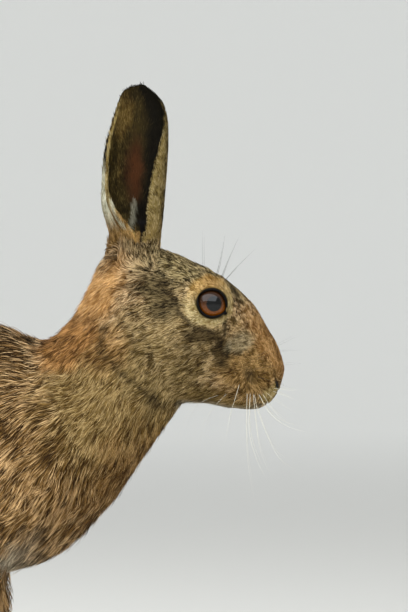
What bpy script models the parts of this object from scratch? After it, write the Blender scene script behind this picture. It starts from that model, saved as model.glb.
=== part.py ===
"""Brown hare, life size, resting on all fours with straight forelegs and raised head.

Metres, +Z up. The nose points along +X and the hare's left side is +Y. The origin is on
the floor, under the middle of the animal. The solids follow the outside of the coat.
"""

import math

import bpy
import bmesh
import numpy as np
from mathutils import Matrix, Vector

GAP = 0.0003  # left between touching pieces
FUSE_VOXEL = 0.0017  # size of the grid that melts the lofts into one body
HEAD_TRIANGLES = 2560
BODY_TRIANGLES = 3960
SECTION_SIDES = 40
LIMB_SIDES = 24

# Eye
EYE_CENTRE = Vector((0.2160, 0.0204, 0.3124))
EYE_RADIUS = 0.0112
EYE_AXIS = Vector((0.18, 0.98, 0.06))
EYE_CORNERS = Vector((0.90, 0.0, -0.34))  # from the rear corner of the lids to the front one
LID_OPENING = (0.00985, 0.00925)  # half the length and half the height of the opening
LID_THICKNESS = 0.0015
LID_BEAD = 0.0009  # radius of the rounded edge of the lids

# Ear
EAR_ROOT_Z = 0.3240  # its solid root starts inside the head
EAR_NOTCH_Z = 0.3510  # lowest point of the opening
EAR_TIP_Z = 0.4576
EAR_WALL = 0.0026
EAR_ARC_POINTS = 12
EAR_SPREAD = (0.0165, 0.0265)  # distance from the middle plane at the notch and at the tip
LEFT_EAR_BACK = 0.0030  # the left ear is laid back a little
LEFT_EAR_ROOT_BACK = 0.0060  # and bulges further back at its root
LEFT_EAR_DROP = 0.0050  # its tip stands lower

# Limbs
CLAW_LENGTH = 0.0118
CLAW_RADIUS = 0.0021
CLAW_DROP = 0.0022
FORE_TOE_RADIUS = 0.0064
HIND_TOE_RADIUS = 0.0080

# Each row of the trunk: upper point (x, z), lower point (x, z), half width, where the widest
# level lies between lower (0) and upper (1), and how square the section is above and below.
TRUNK = [
    (-0.2130, 0.1230, -0.2010, 0.0760, 0.0180, 0.50, 2.0, 2.0),
    (-0.2085, 0.1660, -0.1720, 0.0640, 0.0440, 0.45, 2.0, 2.0),
    (-0.1880, 0.2130, -0.1420, 0.0700, 0.0590, 0.45, 2.0, 2.1),
    (-0.1520, 0.2530, -0.1080, 0.0860, 0.0640, 0.45, 2.0, 2.2),
    (-0.1060, 0.2820, -0.0720, 0.1020, 0.0620, 0.45, 2.0, 2.2),
    (-0.0560, 0.2980, -0.0340, 0.1140, 0.0570, 0.44, 2.0, 2.2),
    (-0.0050, 0.3045, 0.0050, 0.1220, 0.0520, 0.44, 2.0, 2.1),
    (0.0400, 0.3045, 0.0480, 0.1270, 0.0490, 0.44, 1.9, 2.0),
    (0.0740, 0.3010, 0.0860, 0.1330, 0.0470, 0.45, 1.9, 2.0),
    (0.0950, 0.2920, 0.1190, 0.1460, 0.0440, 0.48, 1.9, 2.0),
    (0.1080, 0.2890, 0.1480, 0.1770, 0.0400, 0.50, 2.0, 2.0),
    (0.1190, 0.2990, 0.1690, 0.2070, 0.0360, 0.50, 2.0, 2.0),
    (0.1290, 0.3140, 0.1850, 0.2290, 0.0325, 0.50, 2.1, 2.0),
    (0.1365, 0.3305, 0.1950, 0.2430, 0.0300, 0.52, 2.1, 2.0),
    (0.1418, 0.3415, 0.1985, 0.2480, 0.0285, 0.52, 2.1, 2.0),
    (0.1500, 0.3475, 0.2040, 0.2525, 0.0260, 0.52, 2.1, 2.0),
]

# The head in the same form, from the nape to the end of the nose.
HEAD = [
    (0.1450, 0.3330, 0.1580, 0.2780, 0.0220, 0.50, 2.0, 2.0),
    (0.1530, 0.3440, 0.1660, 0.2600, 0.0275, 0.50, 2.1, 2.0),
    (0.1660, 0.3498, 0.1790, 0.2500, 0.0305, 0.52, 2.2, 2.1),
    (0.1795, 0.3500, 0.1920, 0.2465, 0.0316, 0.54, 2.3, 2.2),
    (0.1925, 0.3458, 0.2050, 0.2460, 0.0312, 0.56, 2.4, 2.2),
    (0.2055, 0.3402, 0.2150, 0.2448, 0.0292, 0.58, 2.4, 2.1),
    (0.2187, 0.3341, 0.2245, 0.2426, 0.0264, 0.56, 2.3, 2.0),
    (0.2317, 0.3244, 0.2330, 0.2418, 0.0230, 0.47, 2.2, 2.0),
    (0.2444, 0.3126, 0.2405, 0.2420, 0.0204, 0.41, 2.1, 2.1),
    (0.2528, 0.2984, 0.2475, 0.2424, 0.0185, 0.39, 2.1, 2.2),
    (0.2594, 0.2874, 0.2525, 0.2440, 0.0165, 0.41, 2.1, 2.2),
    (0.2636, 0.2766, 0.2570, 0.2476, 0.0138, 0.44, 2.1, 2.1),
    (0.2655, 0.2690, 0.2614, 0.2542, 0.0100, 0.50, 2.0, 2.0),
]

# The ear above its notch: share of its height, rear edge x, front edge x, depth, and how far the
# rear and the front rim roll round to the open side, in degrees.
EAR = [
    (0.000, 0.1552, 0.1820, 0.0112, 176, 171),
    (0.080, 0.1554, 0.1828, 0.0122, 158, 163),
    (0.160, 0.1516, 0.1838, 0.0130, 138, 156),
    (0.280, 0.1462, 0.1850, 0.0134, 114, 151),
    (0.450, 0.1454, 0.1864, 0.0130, 99, 143),
    (0.620, 0.1468, 0.1875, 0.0118, 93, 129),
    (0.770, 0.1503, 0.1873, 0.0100, 88, 110),
    (0.880, 0.1536, 0.1846, 0.0078, 84, 94),
    (0.950, 0.1564, 0.1790, 0.0056, 78, 80),
    (0.985, 0.1612, 0.1744, 0.0036, 72, 72),
    (1.000, 0.1672, 0.1722, 0.0022, 68, 68),
]

# Limbs of the left side: x, y, z, radius in the side view, radius from left to right.
LIMBS = {
    "upper_arm": [
        (0.0720, 0.0300, 0.2560, 0.0240, 0.0130),
        (0.1020, 0.0340, 0.2150, 0.0290, 0.0190),
        (0.0860, 0.0370, 0.1800, 0.0290, 0.0200),
        (0.0620, 0.0350, 0.1500, 0.0220, 0.0165),
    ],
    "forearm": [
        (0.0600, 0.0345, 0.1520, 0.0210, 0.0160),
        (0.0640, 0.0320, 0.1240, 0.0185, 0.0145),
        (0.0690, 0.0290, 0.0850, 0.0140, 0.0120),
        (0.0730, 0.0270, 0.0500, 0.0115, 0.0108),
        (0.0760, 0.0262, 0.0280, 0.0118, 0.0112),
    ],
    "fore_metapode": [
        (0.0755, 0.0262, 0.0260, 0.0118, 0.0112),
        (0.0840, 0.0262, 0.0125, 0.0110, 0.0125),
        (0.0960, 0.0262, 0.0085, 0.0095, 0.0130),
    ],
    "thigh": [
        (-0.1500, 0.0330, 0.2000, 0.0400, 0.0200),
        (-0.1310, 0.0480, 0.1700, 0.0560, 0.0260),
        (-0.0960, 0.0560, 0.1400, 0.0520, 0.0245),
        (-0.0600, 0.0590, 0.1160, 0.0340, 0.0200),
    ],
    "shank": [
        (-0.0560, 0.0590, 0.1080, 0.0290, 0.0190),
        (-0.1000, 0.0580, 0.0820, 0.0290, 0.0190),
        (-0.1500, 0.0570, 0.0560, 0.0240, 0.0160),
        (-0.1900, 0.0560, 0.0280, 0.0145, 0.0125),
    ],
    "hind_metapode": [
        (-0.1960, 0.0560, 0.0150, 0.0160, 0.0130),
        (-0.1700, 0.0565, 0.0135, 0.0150, 0.0140),
        (-0.1250, 0.0580, 0.0115, 0.0130, 0.0148),
        (-0.0850, 0.0600, 0.0100, 0.0115, 0.0158),
    ],
}
TAIL = [
    (-0.1930, 0.0, 0.1180, 0.0140, 0.0140),
    (-0.2110, 0.0, 0.1120, 0.0170, 0.0165),
    (-0.2330, 0.0, 0.1015, 0.0195, 0.0180),
    (-0.2500, 0.0, 0.0935, 0.0160, 0.0145),
    (-0.2602, 0.0, 0.0905, 0.0080, 0.0070),
]

# Toes: sideways place of the root and of the tip, and x of the tip.
FORE_TOES = [
    (-0.0085, -0.0115, 0.1120),
    (-0.0030, -0.0040, 0.1190),
    (0.0030, 0.0040, 0.1185),
    (0.0085, 0.0110, 0.1110),
]
HIND_TOES = [
    (-0.0100, -0.0140, -0.0560),
    (-0.0035, -0.0048, -0.0460),
    (0.0035, 0.0050, -0.0470),
    (0.0100, 0.0145, -0.0600),
]

FEET = {
    "forepaw": (LIMBS["fore_metapode"][-1], FORE_TOES, FORE_TOE_RADIUS),
    "hind_foot": (LIMBS["hind_metapode"][-1], HIND_TOES, HIND_TOE_RADIUS),
}

# Where the body is parted across: upper and lower end of each cut in the side view, (x, z).
HEAD_CUT = ((0.1340, 0.3200), (0.2010, 0.2466))
NECK_CUT = ((0.1033, 0.2874), (0.1520, 0.1830))

# Pieces taken off the body in this order, as boxes or as plugs with an oval outline: middle on
# the left side, size, turn about the Y axis in degrees.
PIECES = {
    "tail": ("box", (-0.2610, 0.0, 0.1050), (0.0980, 0.0800, 0.0850), 0),
    "forepaw": ("box", (0.0900, 0.0320, 0.0080), (0.1200, 0.0560, 0.0560), 0),
    "foreleg": ("box", (0.0750, 0.0320, 0.0690), (0.0900, 0.0560, 0.0980), 0),
    "upper_foreleg": ("plug", (0.0840, 0.0540, 0.2020), (0.0680, 0.0600, 0.1380), 8),
    "hind_foot": ("box", (-0.1350, 0.0600, 0.0020), (0.2400, 0.0760, 0.0640), 0),
    "shank": ("box", (-0.1450, 0.0670, 0.0540), (0.1640, 0.0620, 0.0700), -31),
    "thigh": ("plug", (-0.0980, 0.0650, 0.1480), (0.1880, 0.0700, 0.1400), 47),
}

# Forms pressed out of or into the fused body, on both sides: centre, reach, height.
HEAD_FORMS = {
    "ear base": ((0.1640, 0.0240, 0.3400), 0.0170, 0.0060),
    "brow ridge": ((0.2120, 0.0220, 0.3300), 0.0110, 0.0016),
    "cheek": ((0.1930, 0.0300, 0.2830), 0.0270, 0.0022),
    "temple hollow": ((0.1920, 0.0290, 0.3180), 0.0130, -0.0018),
    "hollow before the eye": ((0.2370, 0.0210, 0.2980), 0.0130, -0.0016),
    "whisker pad": ((0.2500, 0.0170, 0.2610), 0.0120, 0.0026),
    "nose wing": ((0.2610, 0.0080, 0.2680), 0.0060, 0.0008),
    "corner of the mouth": ((0.2340, 0.0180, 0.2500), 0.0090, -0.0012),
    "chin": ((0.2440, 0.0000, 0.2410), 0.0090, 0.0008),
    "jaw": ((0.2100, 0.0180, 0.2500), 0.0180, 0.0012),
}
BODY_FORMS = {
    "shoulder blade": ((0.0660, 0.0440, 0.2600), 0.0420, 0.0030),
    "fold behind the neck": ((0.1040, 0.0000, 0.2880), 0.0120, -0.0014),
    "flank hollow": ((-0.0450, 0.0560, 0.2000), 0.0450, -0.0050),
    "knee": ((-0.0420, 0.0700, 0.1150), 0.0260, 0.0030),
}

FUR = ("fur", (0.36, 0.25, 0.15), 0.85, 0.0)
EAR_FUR = ("ear_fur", (0.30, 0.23, 0.16), 0.85, 0.0)
EYE_AMBER = ("eye_amber", (0.24, 0.09, 0.02), 0.08, 0.0)
CLAW_HORN = ("claw_horn", (0.10, 0.08, 0.07), 0.40, 0.0)


def clear_scene():
    for obj in list(bpy.data.objects):
        bpy.data.objects.remove(obj, do_unlink=True)


def new_collection(name):
    made = bpy.data.collections.new(name)
    bpy.context.scene.collection.children.link(made)
    return made


def make_material(name, colour, roughness, metallic):
    made = bpy.data.materials.new(name)
    made.use_nodes = True
    shader = made.node_tree.nodes["Principled BSDF"]
    shader.inputs["Base Color"].default_value = (*colour, 1.0)
    shader.inputs["Roughness"].default_value = roughness
    shader.inputs["Metallic"].default_value = metallic
    return made


def smooth_rows(rows, steps):
    """The rows with others drawn between them on a smooth curve, steps for each stretch."""
    rows = np.array(rows, float)
    ends = np.vstack([2 * rows[0] - rows[1], rows, 2 * rows[-1] - rows[-2]])
    u = (np.arange(steps) / steps)[:, None]
    drawn = [
        0.5 * (2 * b + (c - a) * u + (2 * a - 5 * b + 4 * c - d) * u**2 + (3 * b - a - 3 * c + d) * u**3)
        for a, b, c, d in zip(ends, ends[1:], ends[2:], ends[3:])
    ]
    return np.vstack([*drawn, rows[-1:]])


def object_from(name, mesh, collection):
    made = bpy.data.objects.new(name, mesh)
    collection.objects.link(made)
    return made


def face_outwards(mesh):
    form = bmesh.new()
    form.from_mesh(mesh)
    bmesh.ops.recalc_face_normals(form, faces=form.faces)
    form.to_mesh(mesh)
    form.free()


def mesh_from_rings(name, rings):
    """A closed tube through rings of as many points each, with flat ends."""
    count = len(rings[0])
    faces = [
        (r * count + i, r * count + (i + 1) % count, (r + 1) * count + (i + 1) % count, (r + 1) * count + i)
        for r in range(len(rings) - 1)
        for i in range(count)
    ]
    faces.append(tuple(range(count)))
    faces.append(tuple(range((len(rings) - 1) * count, len(rings) * count)))
    mesh = bpy.data.meshes.new(name)
    mesh.from_pydata(np.vstack(rings).tolist(), [], faces)
    face_outwards(mesh)
    return mesh


def power_wave(wave, power):
    """A sine or cosine bent towards a square: power 2 leaves an ellipse."""
    return np.sign(wave) * np.abs(wave) ** (2.0 / power)


def trunk_mesh(name, stations):
    """A loft through ovals that stand across the animal, each between an upper and a lower point."""
    turn = np.arange(SECTION_SIDES) / SECTION_SIDES * 2 * math.pi
    rings = []
    for top_x, top_z, low_x, low_z, half_width, belt, above, below in smooth_rows(stations, 4):
        top, low = np.array([top_x, 0, top_z]), np.array([low_x, 0, low_z])
        widest = low + (top - low) * belt
        up = np.cos(turn)
        power = np.where(up > 0, above, below)
        rise = power_wave(up, power)[:, None]
        side = power_wave(np.sin(turn), power)[:, None]
        reach = np.where(rise > 0, rise * (top - widest), rise * (widest - low))
        rings.append(widest + reach + side * half_width * np.array([0, 1, 0]))
    return mesh_from_rings(name, rings)


def limb_mesh(name, joints, side, grow=0.0, steps=4, sides=LIMB_SIDES, ends=(72, 48, 24)):
    """A round-ended tube along the joints. grow makes it fatter, for a piece's socket."""
    rows = smooth_rows(joints, steps)
    rows[:, 1] *= side
    rows[:, 3:] += grow
    along = np.gradient(rows[:, :3], axis=0)
    along /= np.linalg.norm(along, axis=1)[:, None]
    turn = np.arange(sides) / sides * 2 * math.pi
    across_axis = np.array([0.0, 1.0, 0.0])

    def ring(row, direction, scale, shift):
        across = across_axis - direction * direction[1]
        across /= np.linalg.norm(across)
        fore = np.cross(direction, across)
        centre = row[:3] + direction * shift
        return (
            centre
            + np.outer(np.sin(turn), across) * row[4] * scale
            + np.outer(np.cos(turn), fore) * row[3] * scale
        )

    round_off = [(math.cos(math.radians(a)), math.sin(math.radians(a))) for a in ends]
    first = [ring(rows[0], along[0], scale, -rise * rows[0, 3:].min()) for scale, rise in round_off]
    last = [ring(rows[-1], along[-1], scale, rise * rows[-1, 3:].min()) for scale, rise in round_off]
    last.reverse()
    middle = [ring(row, direction, 1.0, 0.0) for row, direction in zip(rows, along)]
    return mesh_from_rings(name, first + middle + last)


def toe_joints(foot, toes, radius):
    """One row of joints for each toe of a foot that ends at the joint foot."""
    root_x, middle_y = foot[:2]
    for root_y, tip_y, tip_x in toes:
        yield [
            (root_x, middle_y + root_y, radius * 1.05, radius * 0.95, radius * 0.90),
            ((root_x + tip_x) / 2, middle_y + (root_y + tip_y) / 2, radius * 1.05, radius, radius * 0.95),
            (tip_x - radius, middle_y + tip_y, radius * 0.75, radius * 0.95, radius * 0.88),
        ]


def evaluated_mesh(obj):
    graph = bpy.context.evaluated_depsgraph_get()
    return bpy.data.meshes.new_from_object(obj.evaluated_get(graph))


def settle(obj):
    """Applies the object's modifiers."""
    mesh = evaluated_mesh(obj)
    obj.modifiers.clear()
    obj.data = mesh
    return obj


def join_meshes(name, meshes, collection):
    form = bmesh.new()
    for mesh in meshes:
        form.from_mesh(mesh)
    joined = bpy.data.meshes.new(name)
    form.to_mesh(joined)
    form.free()
    return object_from(name, joined, collection)


def melt(obj, voxel):
    remesh = obj.modifiers.new("melt", "REMESH")
    remesh.mode = "VOXEL"
    remesh.voxel_size = voxel
    return settle(obj)


def points_of(mesh, what="co"):
    flat = np.empty(len(mesh.vertices) * 3)
    if what == "co":
        mesh.vertices.foreach_get("co", flat)
    else:
        mesh.vertex_normals.foreach_get("vector", flat)
    return flat.reshape(-1, 3)


def put_points(mesh, points):
    mesh.vertices.foreach_set("co", points.ravel())
    mesh.update()


def relax(mesh, weight, rounds):
    """Evens out the surface. weight says for each point how far it goes along, from 0 to 1."""
    edges = np.empty(len(mesh.edges) * 2, np.int64)
    mesh.edges.foreach_get("vertices", edges)
    one, other = edges.reshape(-1, 2).T
    points = points_of(mesh)
    count = len(points)
    share = np.bincount(edges, minlength=count)[:, None]
    for _ in range(rounds):
        total = np.stack(
            [
                np.bincount(one, points[other, k], count) + np.bincount(other, points[one, k], count)
                for k in range(3)
            ],
            axis=1,
        )
        points += 0.5 * weight[:, None] * (total / share - points)
    put_points(mesh, points)


def ramp(values, low, high):
    """0 below low, 1 above high, smooth between."""
    t = np.clip((values - low) / (high - low), 0, 1)
    return t * t * (3 - 2 * t)


def press_forms(mesh, forms):
    """Pushes each named form out along the surface, on both sides of the animal."""
    for (x, y, z), reach, height in forms.values():
        points, normals = points_of(mesh), points_of(mesh, "normal")
        for side in (-1, 1) if y else (1,):
            away = np.linalg.norm(points - np.array([x, y * side, z]), axis=1) / reach
            points += normals * (height * np.exp(-2 * away**2))[:, None]
        put_points(mesh, points)


def fused_body(collection):
    """Trunk, head, limbs and tail melted into one skin, finer than the solids need."""
    meshes = [trunk_mesh("trunk", TRUNK), trunk_mesh("skull", HEAD), limb_mesh("brush", TAIL, 1)]
    for side in (-1, 1):
        meshes.append(ball_mesh("lids", eye_centre(side), EYE_RADIUS + LID_THICKNESS))
        for name, joints in LIMBS.items():
            meshes.append(limb_mesh(name, joints, side))
        for foot, toes, radius in FEET.values():
            for joints in toe_joints(foot, toes, radius):
                meshes.append(limb_mesh("toe", joints, side, sides=16))
    body = melt(join_meshes("body", meshes, collection), FUSE_VOXEL)
    points = points_of(body.data)
    x, z = points[:, 0], points[:, 2]
    on_trunk = ramp(z, 0.045, 0.090) * (1 - ramp(x, 0.120, 0.150)) * (1 - ramp(-x, 0.205, 0.220))
    relax(body.data, on_trunk, 70)
    relax(body.data, np.ones(len(points)), 4)
    press_forms(body.data, HEAD_FORMS)
    press_forms(body.data, BODY_FORMS)
    relax(body.data, np.ones(len(points)), 3)
    return body


def thin_to(obj, triangles):
    obj.data.calc_loop_triangles()
    decimate = obj.modifiers.new("thin", "DECIMATE")
    decimate.ratio = min(1.0, triangles / len(obj.data.loop_triangles))
    decimate.use_collapse_triangulate = True
    return settle(obj)


def split_across(body, name, cut, collection):
    """Parts the body along a plane that runs across it, and returns the piece in front."""
    upper, lower = (Vector((x, 0, z)) for x, z in cut)
    along = (lower - upper).normalized()
    forward = Vector((-along.z, 0, along.x))
    pieces = []
    for way in (-1, 1):
        form = bmesh.new()
        form.from_mesh(body.data)
        bmesh.ops.bisect_plane(
            form,
            geom=form.verts[:] + form.edges[:] + form.faces[:],
            plane_co=upper + forward * way * GAP / 2,
            plane_no=forward,
            clear_inner=way > 0,
            clear_outer=way < 0,
        )
        bmesh.ops.holes_fill(form, edges=[edge for edge in form.edges if edge.is_boundary])
        bmesh.ops.recalc_face_normals(form, faces=form.faces)
        mesh = bpy.data.meshes.new(name)
        form.to_mesh(mesh)
        form.free()
        pieces.append(mesh)
    body.data, front = pieces
    return object_from(name, front, collection)


def region(name, shape, middle, size, turn, side, grow, collection):
    """A box or an oval plug along the Y axis, as a cutter."""
    form = bmesh.new()
    matrix = Matrix.Translation((middle[0], middle[1] * side, middle[2]))
    matrix @= Matrix.Rotation(math.radians(turn), 4, "Y")
    matrix @= Matrix.Diagonal((*(length + 2 * grow for length in size), 1.0))
    if shape == "box":
        bmesh.ops.create_cube(form, size=1.0)
    else:
        bmesh.ops.create_cone(form, cap_ends=True, segments=32, radius1=0.5, radius2=0.5, depth=1.0)
        matrix @= Matrix.Rotation(math.radians(90), 4, "X")
    bmesh.ops.transform(form, matrix=matrix, verts=form.verts)
    mesh = bpy.data.meshes.new(name)
    form.to_mesh(mesh)
    form.free()
    face_outwards(mesh)
    return object_from(name, mesh, collection)


def combine(obj, operation, cutter):
    boolean = obj.modifiers.new("combine", "BOOLEAN")
    boolean.operation = operation
    boolean.object = cutter
    boolean.solver = "EXACT"
    return settle(obj)


def largest_body(obj):
    """Keeps only the largest closed surface of the object."""
    form = bmesh.new()
    form.from_mesh(obj.data)
    left = set(form.verts)
    groups = []
    while left:
        group, edge = set(), [left.pop()]
        while edge:
            vert = edge.pop()
            group.add(vert)
            for near in (e.other_vert(vert) for e in vert.link_edges):
                if near in left:
                    left.remove(near)
                    edge.append(near)
        groups.append(group)
    keep = max(groups, key=len)
    bmesh.ops.delete(form, geom=[v for v in form.verts if v not in keep], context="VERTS")
    form.to_mesh(obj.data)
    form.free()
    return obj


def part_off(body, name, cutter, wider_cutter, collection):
    """Takes what lies in the cutter off the body as a piece of its own, with a gap round it."""
    piece = object_from(name, body.data.copy(), collection)
    combine(piece, "INTERSECT", cutter)
    combine(body, "DIFFERENCE", wider_cutter)
    return largest_body(piece)


def ball_mesh(name, centre, radius, rings=12, sides=20):
    form = bmesh.new()
    bmesh.ops.create_uvsphere(form, u_segments=sides, v_segments=rings, radius=radius)
    bmesh.ops.translate(form, verts=form.verts, vec=centre)
    mesh = bpy.data.meshes.new(name)
    form.to_mesh(mesh)
    form.free()
    return mesh


def eye_centre(side):
    return Vector((EYE_CENTRE.x, EYE_CENTRE.y * side, EYE_CENTRE.z))


def eye_opening(side, count):
    """Directions from the centre of the eye to the edge of the lids, round an almond shape."""
    axis = Vector((EYE_AXIS.x, EYE_AXIS.y * side, EYE_AXIS.z)).normalized()
    along = (EYE_CORNERS - axis * EYE_CORNERS.dot(axis)).normalized()
    across = along.cross(axis)
    for i in range(count):
        turn = 2 * math.pi * i / count
        corner = 1 + 0.06 * math.cos(turn) ** 8
        sideways = LID_OPENING[0] / EYE_RADIUS * corner * math.cos(turn)
        upwards = LID_OPENING[1] / EYE_RADIUS * math.sin(turn)
        yield along * sideways + across * upwards + axis * math.sqrt(1 - sideways**2 - upwards**2)


def lid_rim_mesh(side, collection):
    """The edge of both lids: a bead round the opening that just clears the eyeball."""
    rim = bpy.data.curves.new("lid_rim", "CURVE")
    rim.dimensions = "3D"
    rim.bevel_depth = LID_BEAD
    rim.bevel_resolution = 1
    line = rim.splines.new("POLY")
    line.points.add(23)
    for point, direction in zip(line.points, eye_opening(side, 24)):
        point.co = (*(eye_centre(side) + direction * (EYE_RADIUS + GAP * 1.5 + LID_BEAD)), 1.0)
    line.use_cyclic_u = True
    guide = object_from("lid_rim", rim, collection)
    ring = evaluated_mesh(guide)
    bpy.data.objects.remove(guide)
    face_outwards(ring)
    return ring


def eye_opening_cutter(side, collection):
    """A cone from inside the eyeball out through the opening between the lids."""
    centre, edge = eye_centre(side), list(eye_opening(side, 20))
    rings = [
        np.array([centre + direction * EYE_RADIUS * share for direction in edge]) for share in (0.3, 2.0)
    ]
    return object_from("opening", mesh_from_rings("opening", rings), collection)


def mouth_cutter(side, collection):
    """A thin bent wedge that opens the line between the lips, from the cleft to one corner."""
    cut = [
        (0.2596, 0.0016, 0.2472, 0.0006, 0.0026),
        (0.2566, 0.0075, 0.2465, 0.0007, 0.0026),
        (0.2490, 0.0130, 0.2463, 0.0007, 0.0026),
        (0.2400, 0.0160, 0.2476, 0.0006, 0.0024),
        (0.2330, 0.0180, 0.2496, 0.0004, 0.0014),
    ]
    return object_from("mouth", limb_mesh("mouth", cut, side, steps=2, sides=8), collection)


def nostril_cutter(side, collection):
    """The slit beside the nose, tall and narrow, curling forward at its foot."""
    cut = [
        (0.2592, 0.0150, 0.2705, 0.0006, 0.0020),
        (0.2598, 0.0142, 0.2660, 0.0010, 0.0034),
        (0.2606, 0.0120, 0.2610, 0.0012, 0.0036),
        (0.2618, 0.0090, 0.2576, 0.0010, 0.0028),
    ]
    return object_from("nostril", limb_mesh("nostril", cut, side, steps=2, sides=8), collection)


def lip_cleft_cutter(collection):
    """The groove that splits the upper lip under the nose."""
    cut = [
        (0.2665, 0.0, 0.2600, 0.0016, 0.0006),
        (0.2652, 0.0, 0.2545, 0.0020, 0.0007),
        (0.2625, 0.0, 0.2485, 0.0024, 0.0007),
    ]
    return object_from("cleft", limb_mesh("cleft", cut, 1, steps=2, sides=8), collection)


def ear_mesh(name, side, grow=0.0, root_only=False):
    """The ear as a scoop: a curved wall that is solid at its root and open to the side above.

    Each section is a band between an outer and an inner arc. The rims roll round near the
    notch, so that the opening narrows to a slit there. With root_only it is a solid plug."""
    height = EAR_TIP_Z - EAR_NOTCH_Z - (LEFT_EAR_DROP if side > 0 else 0.0)
    turn = np.linspace(-1, 1, EAR_ARC_POINTS)
    rows = [(z, *EAR[0]) for z in np.linspace(EAR_ROOT_Z - grow, EAR_NOTCH_Z, 4)[:-1]]
    rows += [(EAR_NOTCH_Z + height * row[0], *row) for row in smooth_rows(EAR, 2)]
    if root_only:
        rows = [row for row in rows if row[0] < EAR_NOTCH_Z + 0.012]
    rings = []
    for z, up, rear, front, depth, rear_roll, front_roll in rows:
        middle_y = EAR_SPREAD[0] + (EAR_SPREAD[1] - EAR_SPREAD[0]) * up
        if side > 0:
            front -= LEFT_EAR_BACK
            rear -= LEFT_EAR_BACK + LEFT_EAR_ROOT_BACK * math.exp(-((up / 0.22) ** 2))
        middle_x = (rear + front) / 2
        half = (front - rear) / 2 + grow
        depth += grow
        cup = 0.0 if root_only else float(ramp(up, 0.0, 0.16))
        swing = np.radians(np.where(turn < 0, rear_roll * turn, front_roll * turn))
        thin = EAR_WALL * (0.70 + 0.30 * np.cos(swing / 2))
        thin = np.minimum(thin, depth * 0.55)
        closing = np.linspace(swing[0] + 2 * math.pi, swing[-1], EAR_ARC_POINTS)
        outer_x, outer_y = half * np.sin(swing), -depth * np.cos(swing)
        inner_x, inner_y = (half - thin) * np.sin(swing), -(depth - thin) * np.cos(swing)
        inner_x = inner_x * cup + half * np.sin(closing) * (1 - cup)
        inner_y = inner_y * cup - depth * np.cos(closing) * (1 - cup)
        x = np.concatenate([outer_x, inner_x[::-1]]) + middle_x
        y = (np.concatenate([outer_y, inner_y[::-1]]) + middle_y) * side
        rings.append(np.column_stack([x, y, np.full(len(x), z)]))
    return mesh_from_rings(name, rings)


def shape_eye(head, side, place, material, collection, cutters):
    combine(head, "DIFFERENCE", eye_opening_cutter(side, cutters))
    socket = ball_mesh("socket", eye_centre(side), EYE_RADIUS + GAP)
    combine(head, "DIFFERENCE", object_from("socket", socket, cutters))
    combine(head, "UNION", object_from("lid_rim", lid_rim_mesh(side, cutters), cutters))
    eye = object_from(f"eye_{place}", ball_mesh("eye", eye_centre(side), EYE_RADIUS), collection)
    shade(eye, material)


def shape_ear(head, side, place, material, collection, cutters):
    socket = object_from("ear_socket", ear_mesh("ear_socket", side, GAP, True), cutters)
    combine(head, "DIFFERENCE", socket)
    shade(object_from(f"ear_{place}", ear_mesh("ear", side), collection), material)


def claw_joints(foot, toes, radius):
    """One row of joints for each claw: a curved cone with its root inside the end of its toe."""
    for joints in toe_joints(foot, toes, radius):
        x, y, z = joints[-1][:3]
        x += radius * 0.6
        yield [
            (x, y, z + CLAW_DROP, CLAW_RADIUS, CLAW_RADIUS * 0.75),
            (x + CLAW_LENGTH * 0.35, y, z + CLAW_DROP * 0.9, CLAW_RADIUS, CLAW_RADIUS * 0.75),
            (x + CLAW_LENGTH * 0.70, y, z + CLAW_DROP * 0.3, CLAW_RADIUS * 0.7, CLAW_RADIUS * 0.5),
            (x + CLAW_LENGTH * 0.92, y, z - CLAW_DROP * 0.6, CLAW_RADIUS * 0.3, CLAW_RADIUS * 0.3),
        ]


def grow_claws(side, place, material, collection, cutters):
    """Four claws on each foot, each in a socket of its toe."""
    for foot_name, (foot, toes, radius) in FEET.items():
        paw = bpy.data.objects[f"{foot_name}_{place}"]
        for number, joints in enumerate(claw_joints(foot, toes, radius), 1):
            socket = limb_mesh("claw_socket", joints, side, grow=GAP, steps=1, sides=6, ends=(60,))
            combine(paw, "DIFFERENCE", object_from("claw_socket", socket, cutters))
            claw = limb_mesh("claw", joints, side, steps=1, sides=6, ends=(60,))
            name = f"claw_{foot_name[:4]}_{place}_{number}"
            shade(object_from(name, claw, collection), material)
        largest_body(paw)


def shade(obj, material):
    obj.data.materials.clear()
    obj.data.materials.append(material)
    for face in obj.data.polygons:
        face.use_smooth = True
    obj.data.set_sharp_from_angle(angle=math.radians(50))


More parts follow.
